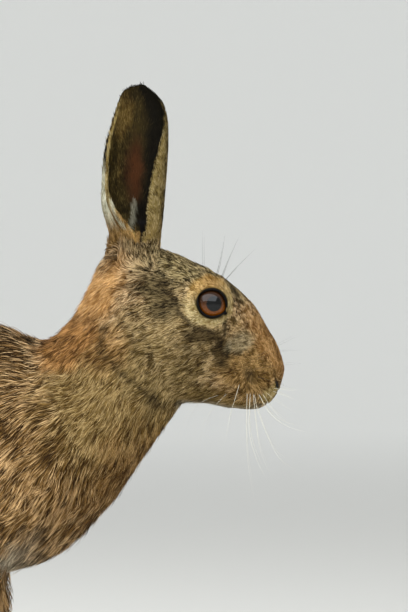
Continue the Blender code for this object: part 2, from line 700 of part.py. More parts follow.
def main():
    clear_scene()
    hare = new_collection("brown_hare")
    cutters = new_collection("cutters")
    fur = make_material(*FUR)
    ear_fur = make_material(*EAR_FUR)
    amber = make_material(*EYE_AMBER)
    horn = make_material(*CLAW_HORN)

    torso = fused_body(hare)
    torso.name = "torso"
    head = split_across(torso, "head", HEAD_CUT, hare)
    thin_to(head, HEAD_TRIANGLES)
    thin_to(torso, BODY_TRIANGLES)
    neck = split_across(torso, "neck", NECK_CUT, hare)
    floor = region("floor", "box", (0, 0, -0.05), (1.0, 0.5, 0.1), 0, 1, 0.0, cutters)
    combine(torso, "DIFFERENCE", floor)
    pieces = [torso, neck, head]
    for kind, (shape, middle, size, turn) in PIECES.items():
        for side, place in ((1, "left"), (-1, "right")) if middle[1] else ((1, None),):
            name = f"{kind}_{place}" if place else kind
            cutter = region(name + "_cut", shape, middle, size, turn, side, 0.0, cutters)
            wider = region(name + "_clear", shape, middle, size, turn, side, GAP, cutters)
            pieces.append(part_off(torso, name, cutter, wider, hare))
    largest_body(torso)

    for side, place in ((1, "left"), (-1, "right")):
        shape_eye(head, side, place, amber, hare, cutters)
        shape_ear(head, side, place, ear_fur, hare, cutters)
        combine(head, "DIFFERENCE", nostril_cutter(side, cutters))
        combine(head, "DIFFERENCE", mouth_cutter(side, cutters))
        grow_claws(side, place, horn, hare, cutters)
    combine(head, "DIFFERENCE", lip_cleft_cutter(cutters))
    largest_body(head)
    for piece in pieces:
        shade(piece, fur)
    for obj in list(cutters.objects):
        bpy.data.objects.remove(obj, do_unlink=True)


main()
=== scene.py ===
# Brown hare for a display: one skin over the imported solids, a coat of tufts, eyes, claws and whiskers
import math
import time

import bpy
import numpy as np
from mathutils import Matrix, Vector
from mathutils.kdtree import KDTree


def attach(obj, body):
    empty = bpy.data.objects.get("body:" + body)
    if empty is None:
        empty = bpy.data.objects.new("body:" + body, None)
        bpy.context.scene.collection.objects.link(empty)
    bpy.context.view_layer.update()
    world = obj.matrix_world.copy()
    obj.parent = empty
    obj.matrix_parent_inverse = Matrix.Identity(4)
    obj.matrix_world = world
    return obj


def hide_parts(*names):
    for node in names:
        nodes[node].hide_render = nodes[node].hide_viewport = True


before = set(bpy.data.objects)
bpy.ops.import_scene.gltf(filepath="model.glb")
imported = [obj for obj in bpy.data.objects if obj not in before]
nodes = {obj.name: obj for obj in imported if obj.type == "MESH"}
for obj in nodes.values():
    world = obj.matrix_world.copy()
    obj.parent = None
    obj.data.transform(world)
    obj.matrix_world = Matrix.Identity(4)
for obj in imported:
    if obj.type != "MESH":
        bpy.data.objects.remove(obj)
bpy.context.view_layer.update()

startTime = time.time()
rng = np.random.default_rng(7)


def report(words):
    print(f"{time.time() - startTime:6.1f} s  {words}")


def rowsOf(text):
    # a table typed as text, one row a line: words stay words, the rest are numbers
    return [[word if word[0].isalpha() else float(word) for word in line.split()]
            for line in text.strip().splitlines()]


# The photo is 408 by 612 pixels. These turn one of its places into metres on the hare's middle plane.
photo = {"pixel": 0.00067, "leftOf": 111.2, "floorRow": 770.0, "width": 408, "height": 612}


def fromPhoto(px, py):
    return (px + photo["leftOf"]) * photo["pixel"], (photo["floorRow"] - py) * photo["pixel"]


def toPhoto(points):
    return points[:, 0] / photo["pixel"] - photo["leftOf"], photo["floorRow"] - points[:, 2] / photo["pixel"]


def ramp(values, low, high):
    t = np.clip((values - low) / (high - low), 0, 1)
    return t * t * (3 - 2 * t)


def fade(values, low, high):
    return 1 - ramp(values, low, high)


def unit(vectors):
    return vectors / np.maximum(np.linalg.norm(vectors, axis=1, keepdims=True), 1e-9)


def blend(first, second, share):
    # share has one value for each row of first
    return first + (second - first) * share.reshape(-1, *[1] * (first.ndim - 1))


def fullTurn(count):
    return np.linspace(0, 2 * math.pi, count, endpoint=False)


def rotated(vectors, axis, turn):
    # turns each vector about its own axis, by its own angle
    cos, sin = np.cos(turn)[:, None], np.sin(turn)[:, None]
    along = np.sum(vectors * axis, axis=1)[:, None]
    return vectors * cos + np.cross(axis, vectors) * sin + axis * along * (1 - cos)


noiseLattice = np.random.default_rng(3).random((32, 32, 32))


def softNoise(points, size, shift=0.0):
    # smooth random values from -1 to 1, with spots of about the given size
    place = points / size + shift
    cell = np.floor(place).astype(int)
    part = place - cell
    part = part * part * (3 - 2 * part)
    total = 0
    for corner in np.ndindex(2, 2, 2):
        i, j, k = ((cell + corner) % 32).T
        share = np.prod(np.where(np.array(corner) == 1, part, 1 - part), axis=1)
        total = total + noiseLattice[i, j, k] * share
    return total * 2 - 1


# Shader maths


class Wire:
    # one socket of a node tree: maths on it adds the nodes that work it out
    def __init__(self, tree, socket=None):
        self.tree = tree
        self.socket = socket

    def add(self, kind, settings=None, sockets=None, out=0):
        node = self.tree.nodes.new(kind)
        for name, value in (settings or {}).items():
            setattr(node, name, value)
        for name, value in (sockets or {}).items():
            if isinstance(value, Wire):
                self.tree.links.new(value.socket, node.inputs[name])
            else:
                node.inputs[name].default_value = value
        return Wire(self.tree, node.outputs[out])

    def maths(self, operation, first, second):
        parts = (first, second)
        wide = any(v.socket.type != "VALUE" if isinstance(v, Wire) else isinstance(v, tuple) for v in parts)
        if wide:
            parts = [(v,) * 3 if isinstance(v, (int, float)) else v for v in parts]
        kind = "ShaderNodeVectorMath" if wide else "ShaderNodeMath"
        return self.add(kind, {"operation": operation}, dict(enumerate(parts)))

    def __add__(self, other):
        return self.maths("ADD", self, other)

    def __radd__(self, other):
        return self.maths("ADD", other, self)

    def __rsub__(self, other):
        return self.maths("SUBTRACT", other, self)

    def __mul__(self, other):
        return self.maths("MULTIPLY", self, other)

    def __rmul__(self, other):
        return self.maths("MULTIPLY", other, self)

    def __pow__(self, other):
        return self.maths("POWER", self, other)

    def between(self, low, high):
        # 0 below low, 1 above high, smooth between
        return self.add("ShaderNodeMapRange", {"interpolation_type": "SMOOTHSTEP"},
                        {"Value": self, "From Min": low, "From Max": high})

    def mixed(self, first, second):
        # this wire is the share of the second colour
        return self.add("ShaderNodeMix", {"data_type": "RGBA"}, {0: self, 6: first, 7: second}, out=2)

    def place(self):
        return self.add("ShaderNodeTexCoord", out=3)

    def streaks(self, place, stretch, detail, scale=1.0):
        # noise that is finer along the axes with the larger stretch
        lines = self.add("ShaderNodeMapping", None, {"Vector": place, "Scale": stretch})
        return self.add("ShaderNodeTexNoise", None, {"Vector": lines, "Scale": scale, "Detail": detail})

    def finish(self, colour, roughness, specular, others=None):
        return self.add("ShaderNodeBsdfPrincipled", None, {
            "Base Color": colour, "Roughness": roughness, "Specular IOR Level": specular, **(others or {})})


def newMaterial(name, build):
    mat = bpy.data.materials.new(name)
    mat.use_nodes = True
    tree = mat.node_tree
    tree.nodes.clear()
    shader = build(Wire(tree))
    output = tree.nodes.new("ShaderNodeOutputMaterial")
    tree.links.new(shader.socket, output.inputs["Surface"])
    return mat


def srgb(*tone):
    # a colour named in 0 to 255 as linear light
    return tuple(((v / 255 + 0.055) / 1.055) ** 2.4 if v > 10 else v / 255 / 12.92 for v in tone)


def solid(tone):
    return (*srgb(*tone), 1)


# Mesh helpers


def readPoints(mesh, what="co"):
    source = mesh.vertices if what == "co" else mesh.vertex_normals
    flat = np.empty(len(mesh.vertices) * 3, np.float32)
    source.foreach_get("co" if what == "co" else "vector", flat)
    return flat.reshape(-1, 3).astype(float)


def writePoints(mesh, points):
    mesh.vertices.foreach_set("co", points.astype(np.float32).ravel())
    mesh.update()


def meshFromFaces(name, points, faces):
    # faces is an array with one row a face, all with as many corners
    mesh = bpy.data.meshes.new(name)
    count, sides = faces.shape
    mesh.vertices.add(len(points))
    mesh.vertices.foreach_set("co", np.ascontiguousarray(points, np.float32).ravel())
    mesh.loops.add(count * sides)
    mesh.loops.foreach_set("vertex_index", np.ascontiguousarray(faces, np.int32).ravel())
    mesh.polygons.add(count)
    mesh.polygons.foreach_set("loop_start", np.arange(0, count * sides, sides, dtype=np.int32))
    mesh.update(calc_edges=True)
    return mesh


def newPiece(name, data):
    obj = bpy.data.objects.new(name, data)
    bpy.context.scene.collection.objects.link(obj)
    return obj


def smooth(mesh):
    mesh.polygons.foreach_set("use_smooth", np.ones(len(mesh.polygons), bool))


def trianglesOf(mesh):
    mesh.calc_loop_triangles()
    flat = np.empty(len(mesh.loop_triangles) * 3, np.int32)
    mesh.loop_triangles.foreach_get("vertices", flat)
    return flat.reshape(-1, 3)


def facedOut(mesh, faces, middle=0.0):
    # a closed mesh with its faces turned outwards
    corners = readPoints(mesh)[faces] - middle
    if np.sum(np.cross(corners[:, 0], corners[:, 1]) * corners[:, 2]) < 0:
        mesh.flip_normals()
    return mesh


def treeOf(points):
    tree = KDTree(len(points))
    for index, point in enumerate(points):
        tree.insert(point, index)
    tree.balance()
    return tree


def nearest(tree, points):
    return np.fromiter((tree.find(p)[1] for p in points), np.int64, len(points))


def applied(obj):
    # the object's mesh with its modifiers made real
    graph = bpy.context.evaluated_depsgraph_get()
    mesh = bpy.data.meshes.new_from_object(obj.evaluated_get(graph))
    obj.modifiers.clear()
    obj.data = mesh
    return mesh


def boolean(obj, operation, mesh):
    other = newPiece("cutter", mesh)
    cut = obj.modifiers.new("cut", "BOOLEAN")
    cut.operation = operation
    cut.solver = "MANIFOLD"
    cut.object = other
    applied(obj)
    bpy.data.objects.remove(other)


def smoothRows(rows, steps):
    # more rows on a smooth curve through the given ones
    rows = np.array(rows, float)
    ends = np.vstack([2 * rows[0] - rows[1], rows, 2 * rows[-1] - rows[-2]])
    u = (np.arange(steps) / steps)[:, None]
    drawn = [
        0.5 * (2 * b + (c - a) * u + (2 * a - 5 * b + 4 * c - d) * u**2 + (3 * b - a - 3 * c + d) * u**3)
        for a, b, c, d in zip(ends, ends[1:], ends[2:], ends[3:])
    ]
    return np.vstack([*drawn, rows[-1:]])


def loft(name, rings):
    # a closed tube through rings of as many points each, with a fan at both ends
    rings = np.array(rings)
    rows, count = rings.shape[:2]
    points = np.vstack([rings.reshape(-1, 3), rings[0].mean(0), rings[-1].mean(0)])
    i = np.arange(count)
    j = (i + 1) % count
    last = (rows - 1) * count
    faces = np.vstack([
        *[np.column_stack([r + i, r + j, r + count + j]) for r in range(0, last, count)],
        *[np.column_stack([r + i, r + count + j, r + count + i]) for r in range(0, last, count)],
        np.column_stack([j, i, i * 0 + rows * count]),
        np.column_stack([last + i, last + j, i * 0 + rows * count + 1])])
    return facedOut(meshFromFaces(name, points, faces), faces)


# Combing: the lie of the coat. Each row is a place, how far it is felt, the way the hair points,
# its length and the thickness of the coat in millimetres. The head's rows are in photo pixels.
headComb = rowsOf("""
279 372 9 -0.55 -0.75 1.8 0.5
270 350 14 -0.58 -0.8 2.6 0.6
252 318 16 -0.62 -0.78 3.6 0.9
236 288 15 -0.7 -0.7 4.5 1.2
214 262 18 -0.86 -0.5 5.5 1.6
186 248 18 -0.98 -0.16 6.5 1.8
160 250 16 -0.95 0.3 7 2
282 384 6 -0.1 -0.99 1.4 0.4
275 379 5 0.8 0.35 2 0.5
262 367 6 0.95 -0.15 2.8 0.7
262 379 6 0.82 0.57 3.6 0.8
269 391 7 0.55 0.83 3.6 0.8
252 381 6 0.32 0.95 4.2 0.9
241 378 7 -0.5 0.86 4.6 1
238 366 7 -0.95 0.15 4 0.9
249 354 6 -0.88 -0.25 3.2 0.8
250 408 10 -0.55 0.83 4.6 1.1
238 340 11 -0.84 0.4 3.6 0.9
262 352 9 -0.6 0.5 2.8 0.7
234 312 7 -0.3 -0.9 2.4 0.7
224 330 8 -0.8 0.5 3 0.8
206 332 10 -0.95 0.25 4.2 1.1
190 318 9 -0.9 0.3 4 1
188 298 8 -0.98 -0.05 3.8 1
200 282 8 -0.85 -0.5 3.4 0.9
218 278 7 -0.55 -0.8 3 0.8
170 290 16 -0.98 0.02 6 1.6
176 336 20 -0.95 0.26 7 1.9
216 360 16 -0.96 0.2 5.5 1.4
226 392 14 -0.94 0.3 6 1.5
190 384 18 -0.9 0.42 8 2.1
150 330 20 -0.9 0.4 9 2.3
146 372 20 -0.8 0.6 11 2.7
136 282 14 -0.86 0.5 9 2.3
112 262 14 -0.8 0.6 11 2.6
96 300 18 -0.72 0.69 14 3.2
76 336 20 -0.7 0.71 16 3.6
106 350 22 -0.66 0.75 15 3.4
128 410 26 -0.5 0.86 16 3.8
100 450 30 -0.58 0.81 18 4.2
190 416 18 -0.7 0.71 12 2.8
214 424 14 -0.66 0.75 13 3
180 450 22 -0.52 0.85 18 4.2
160 500 28 -0.46 0.88 22 4.8
178 560 30 -0.4 0.92 22 4.8
110 540 34 -0.52 0.85 20 4.4
40 440 34 -0.8 0.6 18 4.2
20 384 26 -0.94 0.3 19 4.2
60 380 18 -0.8 0.58 17 3.8
60 520 34 -0.7 0.72 18 4.2
""")
# The rest in metres: x, z, reach, way along x and z, length, thickness.
bodyComb = rowsOf("""
0.04 0.29 0.03 -1 -0.2 20 4.4
-0.08 0.285 0.04 -1 -0.22 21 4.6
-0.17 0.22 0.035 -0.76 -0.65 21 4.6
-0.21 0.16 0.025 -0.55 -0.83 20 4.4
-0.04 0.2 0.04 -0.9 -0.42 20 4.6
0 0.13 0.028 -0.9 -0.4 20 4.4
0.07 0.15 0.028 -0.65 -0.75 18 4
0.096 0.2 0.022 -0.5 -0.86 16 3.6
0.06 0.14 0.016 -0.3 -0.95 10 2.4
0.068 0.09 0.022 0.05 -1 8.5 1.6
0.074 0.045 0.016 0.25 -0.95 7.5 1.3
0.092 0.014 0.014 0.92 -0.35 4.5 1
0.112 0.008 0.012 0.96 -0.26 4 0.9
-0.12 0.16 0.035 -0.62 -0.78 18 4
-0.06 0.115 0.022 -0.35 -0.93 13 3
-0.12 0.065 0.025 -0.8 -0.6 10 2.2
-0.185 0.035 0.018 -0.6 -0.8 9 1.6
-0.19 0.012 0.018 0.9 -0.3 7.5 1.2
-0.13 0.012 0.025 0.98 -0.12 7.5 1.2
-0.07 0.01 0.018 0.97 -0.22 5 1
-0.235 0.12 0.018 -0.45 -0.89 20 4.6
""")


def combAt(points):
    # way of the hair (N x 3), its length and the coat's thickness (N), all in metres
    rows = [(*fromPhoto(px, py), reach * photo["pixel"], wx, -wy, length, deep)
            for px, py, reach, wx, wy, length, deep in headComb] + bodyComb
    total = np.full(len(points), 1e-12)
    way = np.zeros((len(points), 3))
    length = np.zeros(len(points))
    deep = np.zeros(len(points))
    for x, z, reach, wx, wz, long, thick in rows:
        away = ((points[:, 0] - x) ** 2 + (points[:, 2] - z) ** 2) / reach**2
        share = 1 / (0.02 + away) ** 2.5
        total += share
        way[:, 0] += share * wx
        way[:, 2] += share * wz
        length += share * long * 0.001
        deep += share * thick * 0.001
    return unit(way), length / total, deep / total


# Ears: the same sections as the solids, finer and thinner by the coat on them
earForm = {
    "rootZ": 0.324, "notchZ": 0.351, "tipZ": 0.4576, "wall": 0.0019, "arcPoints": 40, "inside": 0.0004,
    "spread": (0.0165, 0.0265), "leftBack": 0.003, "leftRootBack": 0.006, "leftDrop": 0.005,
    "foot": (0.169, 0.0165), "footReach": (0.014, 0.0122), "hairs": (0.0044, 0.0046), "rimHairs": 0.001,
}
# Share of the height, rear edge x, front edge x, depth, how far the rear and front rims roll round.
earRows = rowsOf("""
0 0.1552 0.182 0.0112 176 171
0.08 0.1554 0.1828 0.0122 158 163
0.16 0.1516 0.1838 0.013 138 156
0.28 0.1462 0.185 0.0134 114 151
0.45 0.1454 0.1864 0.013 99 143
0.62 0.1468 0.1875 0.0118 93 129
0.77 0.1503 0.1873 0.01 88 110
0.88 0.1536 0.1846 0.0078 84 94
0.95 0.1564 0.179 0.0056 78 80
0.985 0.1612 0.1744 0.0036 72 72
1 0.1672 0.1722 0.0022 68 68
""")
earTable = smoothRows(earRows, 6)


def earSection(up, side):
    # middle x, middle y, half width, depth, rear roll, front roll at each share of the height
    up = np.atleast_1d(up)
    rear, front, depth, rearRoll, frontRoll = (np.interp(up, earTable[:, 0], earTable[:, k])
                                               for k in range(1, 6))
    if side > 0:
        front = front - earForm["leftBack"]
        rear = rear - earForm["leftBack"] - earForm["leftRootBack"] * np.exp(-((up / 0.22) ** 2))
    low, high = earForm["spread"]
    middleY = (low + (high - low) * np.clip(up, 0, 1)) * side
    return (rear + front) / 2, middleY, (front - rear) / 2, depth, rearRoll, frontRoll


def earHeight(side):
    return earForm["tipZ"] - earForm["notchZ"] - (earForm["leftDrop"] if side > 0 else 0.0)


def earMesh(side, rootOnly=False):
    ups = [0.0] * 4 + list(earTable[:, 0])
    heights = list(np.linspace(earForm["rootZ"], earForm["notchZ"], 5)[:-1])
    heights += list(earForm["notchZ"] + earHeight(side) * earTable[:, 0])
    turn = np.linspace(-1, 1, earForm["arcPoints"])
    rings = []
    for up, z in zip(ups, heights):
        if rootOnly and z > earForm["notchZ"] + 0.004:
            break
        middleX, middleY, half, depth, rearRoll, frontRoll = (v[0] for v in earSection(up, side))
        half, depth = half - earForm["inside"], depth - earForm["inside"]
        cup = 0.0 if rootOnly else float(ramp(up, 0.0, 0.16))
        swing = np.radians(np.where(turn < 0, rearRoll * turn, frontRoll * turn))
        edge = 0.45 + 0.55 * np.sqrt(np.maximum(0.0, 1 - np.abs(turn) ** 10))
        thin = np.minimum(earForm["wall"] * (0.7 + 0.3 * np.cos(swing / 2)), depth * 0.5) * edge
        closing = np.linspace(swing[0] + 2 * math.pi, swing[-1], len(turn))
        innerX = (half - thin) * np.sin(swing) * cup + half * np.sin(closing) * (1 - cup)
        innerY = -(depth - thin) * np.cos(swing) * cup - depth * np.cos(closing) * (1 - cup)
        x = np.concatenate([half * np.sin(swing), innerX[::-1]]) + middleX
        y = np.concatenate([-depth * np.cos(swing), innerY[::-1]]) * side + middleY
        rings.append(np.column_stack([x, y, np.full(len(x), z)]))
    return loft("ear", rings)


def earPlace(points, normals):
    # how much each point is ear, its share of the height, how far round it is, and if it faces inwards
    side = np.where(points[:, 1] > 0, 1, -1)
    height = np.where(side > 0, earHeight(1), earHeight(-1))
    up = (points[:, 2] - earForm["notchZ"]) / height
    both = [np.array(earSection(np.clip(up, 0, 1), s)) for s in (-1, 1)]
    middleX, middleY, half, depth, _, _ = np.where(side > 0, both[1], both[0])
    away = np.column_stack([(points[:, 0] - middleX) / half, (points[:, 1] - middleY) * side / depth])
    swing = np.degrees(np.arctan2(away[:, 0], -away[:, 1]))
    facing = normals[:, 0] * away[:, 0] + normals[:, 1] * side * away[:, 1]
    within = fade(np.linalg.norm(away, axis=1), 1.25, 1.6)
    return within * ramp(up, -0.03, 0.03), up, swing, facing < 0


# Skin: one closed surface inside the flesh solids by the depth of the coat
skinForm = {"grain": 0.0014, "softening": 8, "settling": 4, "bodyTriangles": 118000,
            "fineFrom": (0.13, 0.19), "fineAbove": (0.22, 0.25)}
eyeForm = {
    "centre": (0.216, 0.0204, 0.3124), "radius": 0.0112, "axis": (0.07, 0.99, 0.05),
    "corners": (0.86, 0.0, -0.5), "opening": (0.00855, 0.00835), "drawnOut": 0.13, "ringPoints": 72,
    "lid": 0.0012, "bead": 0.00075, "gap": 0.0003, "coneRings": (0.3, 1.3), "coneOut": 0.02,
}
fleshNodes = [n for n in nodes if not n.startswith(("eye_", "claw_"))]


def eyeCentre(side):
    x, y, z = eyeForm["centre"]
    return np.array([x, y * side, z])


def squareTo(axis, way):
    return (way - axis * way.dot(axis)).normalized()


def eyeFrame(side):
    # axis out of the eye, and the ways along and across the opening
    axis = Vector(eyeForm["axis"]).normalized()
    along = squareTo(axis, Vector(eyeForm["corners"]))
    return [np.array((v.x, v.y * side, v.z)) for v in (axis, along, along.cross(axis))]


def openingRing(side):
    # directions from the eye's centre to the edge of the lids, an almond with drawn-out corners
    axis, along, across = eyeFrame(side)
    turn = fullTurn(eyeForm["ringPoints"])
    long, high = (v / eyeForm["radius"] for v in eyeForm["opening"])
    sideways = long * (1 + eyeForm["drawnOut"] * np.cos(turn) ** 8) * np.cos(turn)
    upwards = high * np.sin(turn)
    forward = np.sqrt(1 - sideways**2 - upwards**2)
    return np.outer(sideways, along) + np.outer(upwards, across) + np.outer(forward, axis)


def ballMesh(name, centre, radius, rings=48, sides=64):
    swing = fullTurn(sides)
    return loft(name, [centre + radius * np.column_stack([
        np.sin(t) * np.cos(swing), np.sin(t) * np.sin(swing), np.full(sides, np.cos(t))])
        for t in np.linspace(0, math.pi, rings)[1:-1]])


def beadMesh(side, sides=12):
    # the rounded edge of both lids
    ring = openingRing(side)
    count = len(ring)
    middle = eyeCentre(side) + ring * (eyeForm["radius"] + eyeForm["gap"] + eyeForm["bead"])
    way = unit(np.roll(middle, -1, axis=0) - np.roll(middle, 1, axis=0))
    out = unit(ring - way * np.sum(ring * way, axis=1)[:, None])
    other = np.cross(way, out)
    swing = fullTurn(sides)
    points = (middle[:, None] + out[:, None] * (np.cos(swing)[:, None] * eyeForm["bead"])
              + other[:, None] * (np.sin(swing)[:, None] * eyeForm["bead"]))
    i, j = (v.ravel() for v in np.meshgrid(np.arange(count), np.arange(sides), indexing="ij"))
    nextRow, j2 = (i + 1) % count * sides, (j + 1) % sides
    faces = np.vstack([np.column_stack([i * sides + j, nextRow + j, nextRow + j2]),
                       np.column_stack([i * sides + j, nextRow + j2, i * sides + j2])])
    return facedOut(meshFromFaces("bead", points.reshape(-1, 3), faces), faces, middle.mean(0))


def relax(mesh, rounds):
    edges = np.empty(len(mesh.edges) * 2, np.int32)
    mesh.edges.foreach_get("vertices", edges)
    one, other = edges.reshape(-1, 2).T
    points = readPoints(mesh)
    count = len(points)
    share = np.bincount(edges, minlength=count)[:, None]
    for turn in range(rounds):
        total = np.stack([np.bincount(one, points[other, k], count)
                          + np.bincount(other, points[one, k], count) for k in range(3)], axis=1)
        push = 0.5 if turn % 2 == 0 else -0.51  # in and out again, so that nothing shrinks
        points += push * (total / share - points)
    writePoints(mesh, points)


def joinedFlesh():
    points, faces, first = [], [], 0
    meshes = [nodes[n].data for n in fleshNodes if not n.startswith("ear_")]
    for mesh in meshes + [earMesh(side, rootOnly=True) for side in (-1, 1)]:
        points.append(readPoints(mesh))
        faces.append(trianglesOf(mesh) + first)
        first += len(mesh.vertices)
    return newPiece("hareSkin", meshFromFaces("hareSkin", np.vstack(points), np.vstack(faces)))


def makeSkin():
    skin = joinedFlesh()
    melt = skin.modifiers.new("melt", "REMESH")
    melt.mode = "VOXEL"
    melt.voxel_size = skinForm["grain"]
    mesh = applied(skin)
    report(f"skin melted, {len(mesh.vertices)} points")
    relax(mesh, skinForm["softening"])
    points, normals = readPoints(mesh), readPoints(mesh, "normal")
    writePoints(mesh, points - normals * combAt(points)[2][:, None])
    relax(mesh, skinForm["settling"])
    points = readPoints(mesh)
    fine = ramp(points[:, 0], *skinForm["fineFrom"]) * ramp(points[:, 2], *skinForm["fineAbove"])
    body = skin.vertex_groups.new(name="body")
    body.add(np.nonzero(fine < 0.5)[0].tolist(), 1.0, "REPLACE")
    thin = skin.modifiers.new("thin", "DECIMATE")
    thin.vertex_group = "body"
    thin.vertex_group_factor = 1.0
    thin.use_collapse_triangulate = True
    thin.ratio = skinForm["bodyTriangles"] / (len(mesh.polygons) * 2)
    mesh = applied(skin)
    skin.vertex_groups.clear()
    report(f"skin thinned to {len(mesh.polygons)} faces")
    for side in (-1, 1):
        centre, radius = eyeCentre(side), eyeForm["radius"]
        inner, outer = (centre + openingRing(side) * radius * v for v in eyeForm["coneRings"])
        last = outer + eyeFrame(side)[0] * eyeForm["coneOut"]
        boolean(skin, "UNION", ballMesh("lidBall", centre, radius + eyeForm["lid"]))
        boolean(skin, "DIFFERENCE", loft("cone", [inner, outer, last]))
        boolean(skin, "DIFFERENCE", ballMesh("socket", centre, radius + eyeForm["gap"], 44, 60))
        boolean(skin, "UNION", beadMesh(side))
        boolean(skin, "UNION", earMesh(side))
    skin.data.update()
    report(f"skin has lids and ears, {len(skin.data.polygons)} faces")
    return skin


skin = makeSkin()

# Markings: every kind of fur has a middle, a light and a dark tone in 0 to 255. The tables after it say
# where each is worn.
palette = rowsOf("""
back 126 96 66 228 200 162 22 16 9
shoulder 130 98 60 212 178 134 42 28 13
chest 116 84 46 176 142 98 46 30 15
throat 112 92 50 176 152 102 50 38 18
white 206 198 178 232 226 210 150 136 110
haunch 118 98 70 182 162 126 44 34 20
rufous 134 100 62 182 150 108 78 54 30
fawn 130 106 66 194 170 124 66 48 24
peach 190 146 98 230 190 140 122 84 48
peachDeep 136 97 54 196 148 96 76 50 26
crown 106 90 60 198 180 142 28 22 12
forehead 134 118 82 206 190 148 48 38 22
temple 66 54 34 136 120 88 18 14 8
cheek 132 110 74 206 184 144 50 38 21
cheekLow 128 108 72 194 172 128 54 42 24
jaw 104 86 46 160 136 92 46 34 16
noseBridge 150 114 72 192 156 112 92 62 34
muzzle 126 98 58 184 152 106 58 40 20
rust 98 74 34 130 100 54 56 38 14
lip 150 135 92 190 176 134 96 80 46
chin 120 100 54 158 138 90 70 54 26
paleGrey 142 132 102 184 176 148 78 68 46
umber 50 40 22 88 72 45 22 17 8
goldRing 180 144 88 214 180 124 122 92 48
creamRing 188 174 136 224 212 178 124 106 74
black 26 20 10 58 46 26 8 6 3
earGrey 78 67 41 140 125 91 26 21 11
earWhite 196 194 172 226 224 206 140 132 104
earCream 176 156 108 214 200 160 104 86 50
earBuff 138 108 66 184 152 106 72 52 28
earOlive 50 41 20 88 76 44 26 20 9
earTan 88 70 38 126 106 64 54 42 20
earSkin 58 36 20 70 46 27 42 25 13
earRed 74 41 22 84 50 28 58 32 16
earDark 14 11 5 28 23 13 8 6 3
""")
# How the lamps' light is met: the middle and dark tones are warmer than the light tips
warmth = {"fur": ((1.05, 0.98, 0.7), (1.04, 0.97, 0.82), (1.04, 0.92, 0.62)), "pale": (1.0, 0.98, 0.93),
          "paleKinds": ("white", "earWhite", "paleGrey")}
tones = {
    name: np.array([srgb(*row[k:k + 3]) for k in (0, 3, 6)])
    * np.array(warmth["pale" if name in warmth["paleKinds"] else "fur"])
    for name, *row in palette}

# Each zone is a kind of fur and an ellipse: middle, half width, half height, turn in degrees, strength. The
# umber zone at 156 396 is painted shade under the jaw.
headZones = rowsOf("""
crown 190 262 50 30 0 1
cheek 180 340 62 52 0 1
cheekLow 170 384 44 18 14 0.7
jaw 214 396 34 12 8 0.9
forehead 220 262 22 14 42 1
muzzle 250 364 34 40 0 1
noseBridge 270 346 13 42 -32 1
forehead 238 292 9 16 -36 0.6
forehead 186 271 24 9 22 0.8
temple 160 288 20 12 10 1
temple 170 306 16 14 0 1
jaw 137 354 18 18 0 0.55
umber 206 335 21 8 8 0.9
umber 234 298 5 13 -30 0.5
umber 225 349 11 19 -6 0.95
umber 156 396 9 16 10 0.5
umber 196 348 22 4 24 0.45
cheekLow 190 367 16 11 20 0.8
cheekLow 163 344 14 12 0 0.6
paleGrey 242 342 14 12 -20 0.55
umber 251 374 4.5 8 -20 0.8
rust 262 376 10 14 0 0.5
lip 270 392 12 9 -20 0.8
chin 250 409 22 8 10 0.9
peach 104 290 34 22 -45 1
temple 138 252 16 12 0 0.65
peachDeep 78 336 42 22 -42 1
peachDeep 112 340 26 24 0 0.5
""")
# The same in metres on the side view, for the trunk and legs.
bodyZones = rowsOf("""
shoulder 0.07 0.21 0.09 0.085 0 1
fawn 0.155 0.25 0.05 0.055 0 1
throat 0.205 0.232 0.035 0.018 0 0.9
chest 0.18 0.19 0.05 0.05 0 0.9
haunch -0.18 0.18 0.08 0.09 0 1
rufous 0.068 0.08 0.03 0.07 0 0.9
rufous -0.15 0.04 0.08 0.045 0 0.8
""")
# Thin marks on the head: kind of fur, half width in pixels, strength, then the places along them. The wide
# umber line from 112 322 to 168 398 is painted shade below the edge of the jaw.
headLines = rowsOf("""
black 2 0.75 224 277 233 288 240 300
black 1.8 0.8 180 300 184 312 192 322 203 328 216 331
black 1.8 0.85 225 317 226 324 226 334
umber 1.4 0.5 186 286 196 279 207 275
umber 3.2 0.6 112 322 112 345 131 368 150 384 168 398
umber 2.4 0.6 166 284 176 290 180 299
""")
# The pale ring round the eye: angle from straight ahead, outer edge in eye openings, how golden it is.
ringForm = {"middle": (210.3, 303.0), "opening": 12.4, "edge": (-0.16, 0.1), "rows": [
    (-180, 1.76, 0.3), (-130, 1.88, 0.0), (-90, 1.74, 0.1), (-50, 1.95, 0.1), (0, 1.92, 0.2),
    (50, 1.98, 0.7), (90, 2.06, 1.0), (140, 1.86, 0.8), (180, 1.76, 0.3)]}
# The inside of the ear has zones and lines as the head has. The earDark zone at 141 216 is painted shade in
# the ear's slit.
earZones = rowsOf("""
earTan 124 118 9 26 10 0.9
earSkin 134 172 10 36 2 1
earRed 136 172 6 26 2 0.6
earTan 119.5 172 1.6 16 0 0.5
earDark 141 216 6 16 0 0.9
earTan 126 101 7 5 -20 0.6
""")
# the earDark line is painted shade in the ear's slit
earLines = rowsOf("""
earDark 1.7 0.95 142 206 142.6 226 142.2 236 141.6 247
earWhite 1.5 0.85 112 206 118 222 125 229
earWhite 2 0.35 134.5 203 133.5 216 132 230
""")


def segmentDistance(x, y, line):
    best = np.full(len(x), 1e9)
    for (ax, ay), (bx, by) in zip(line, line[1:]):
        dx, dy = bx - ax, by - ay
        t = np.clip(((x - ax) * dx + (y - ay) * dy) / (dx * dx + dy * dy), 0, 1)
        best = np.minimum(best, np.hypot(x - ax - dx * t, y - ay - dy * t))
    return best


def lidPlace(points):
    # 1 on the edge of the lids, less inside it and more outside, for the nearer eye
    best = np.full(len(points), 9.0)
    for side in (-1, 1):
        axis, along, across = eyeFrame(side)
        away = points - eyeCentre(side)
        long, high = eyeForm["opening"]
        place = np.hypot(away @ along / long, away @ across / high)
        near = away @ axis > -0.004
        best = np.where(near, np.minimum(best, place), best)
    return best


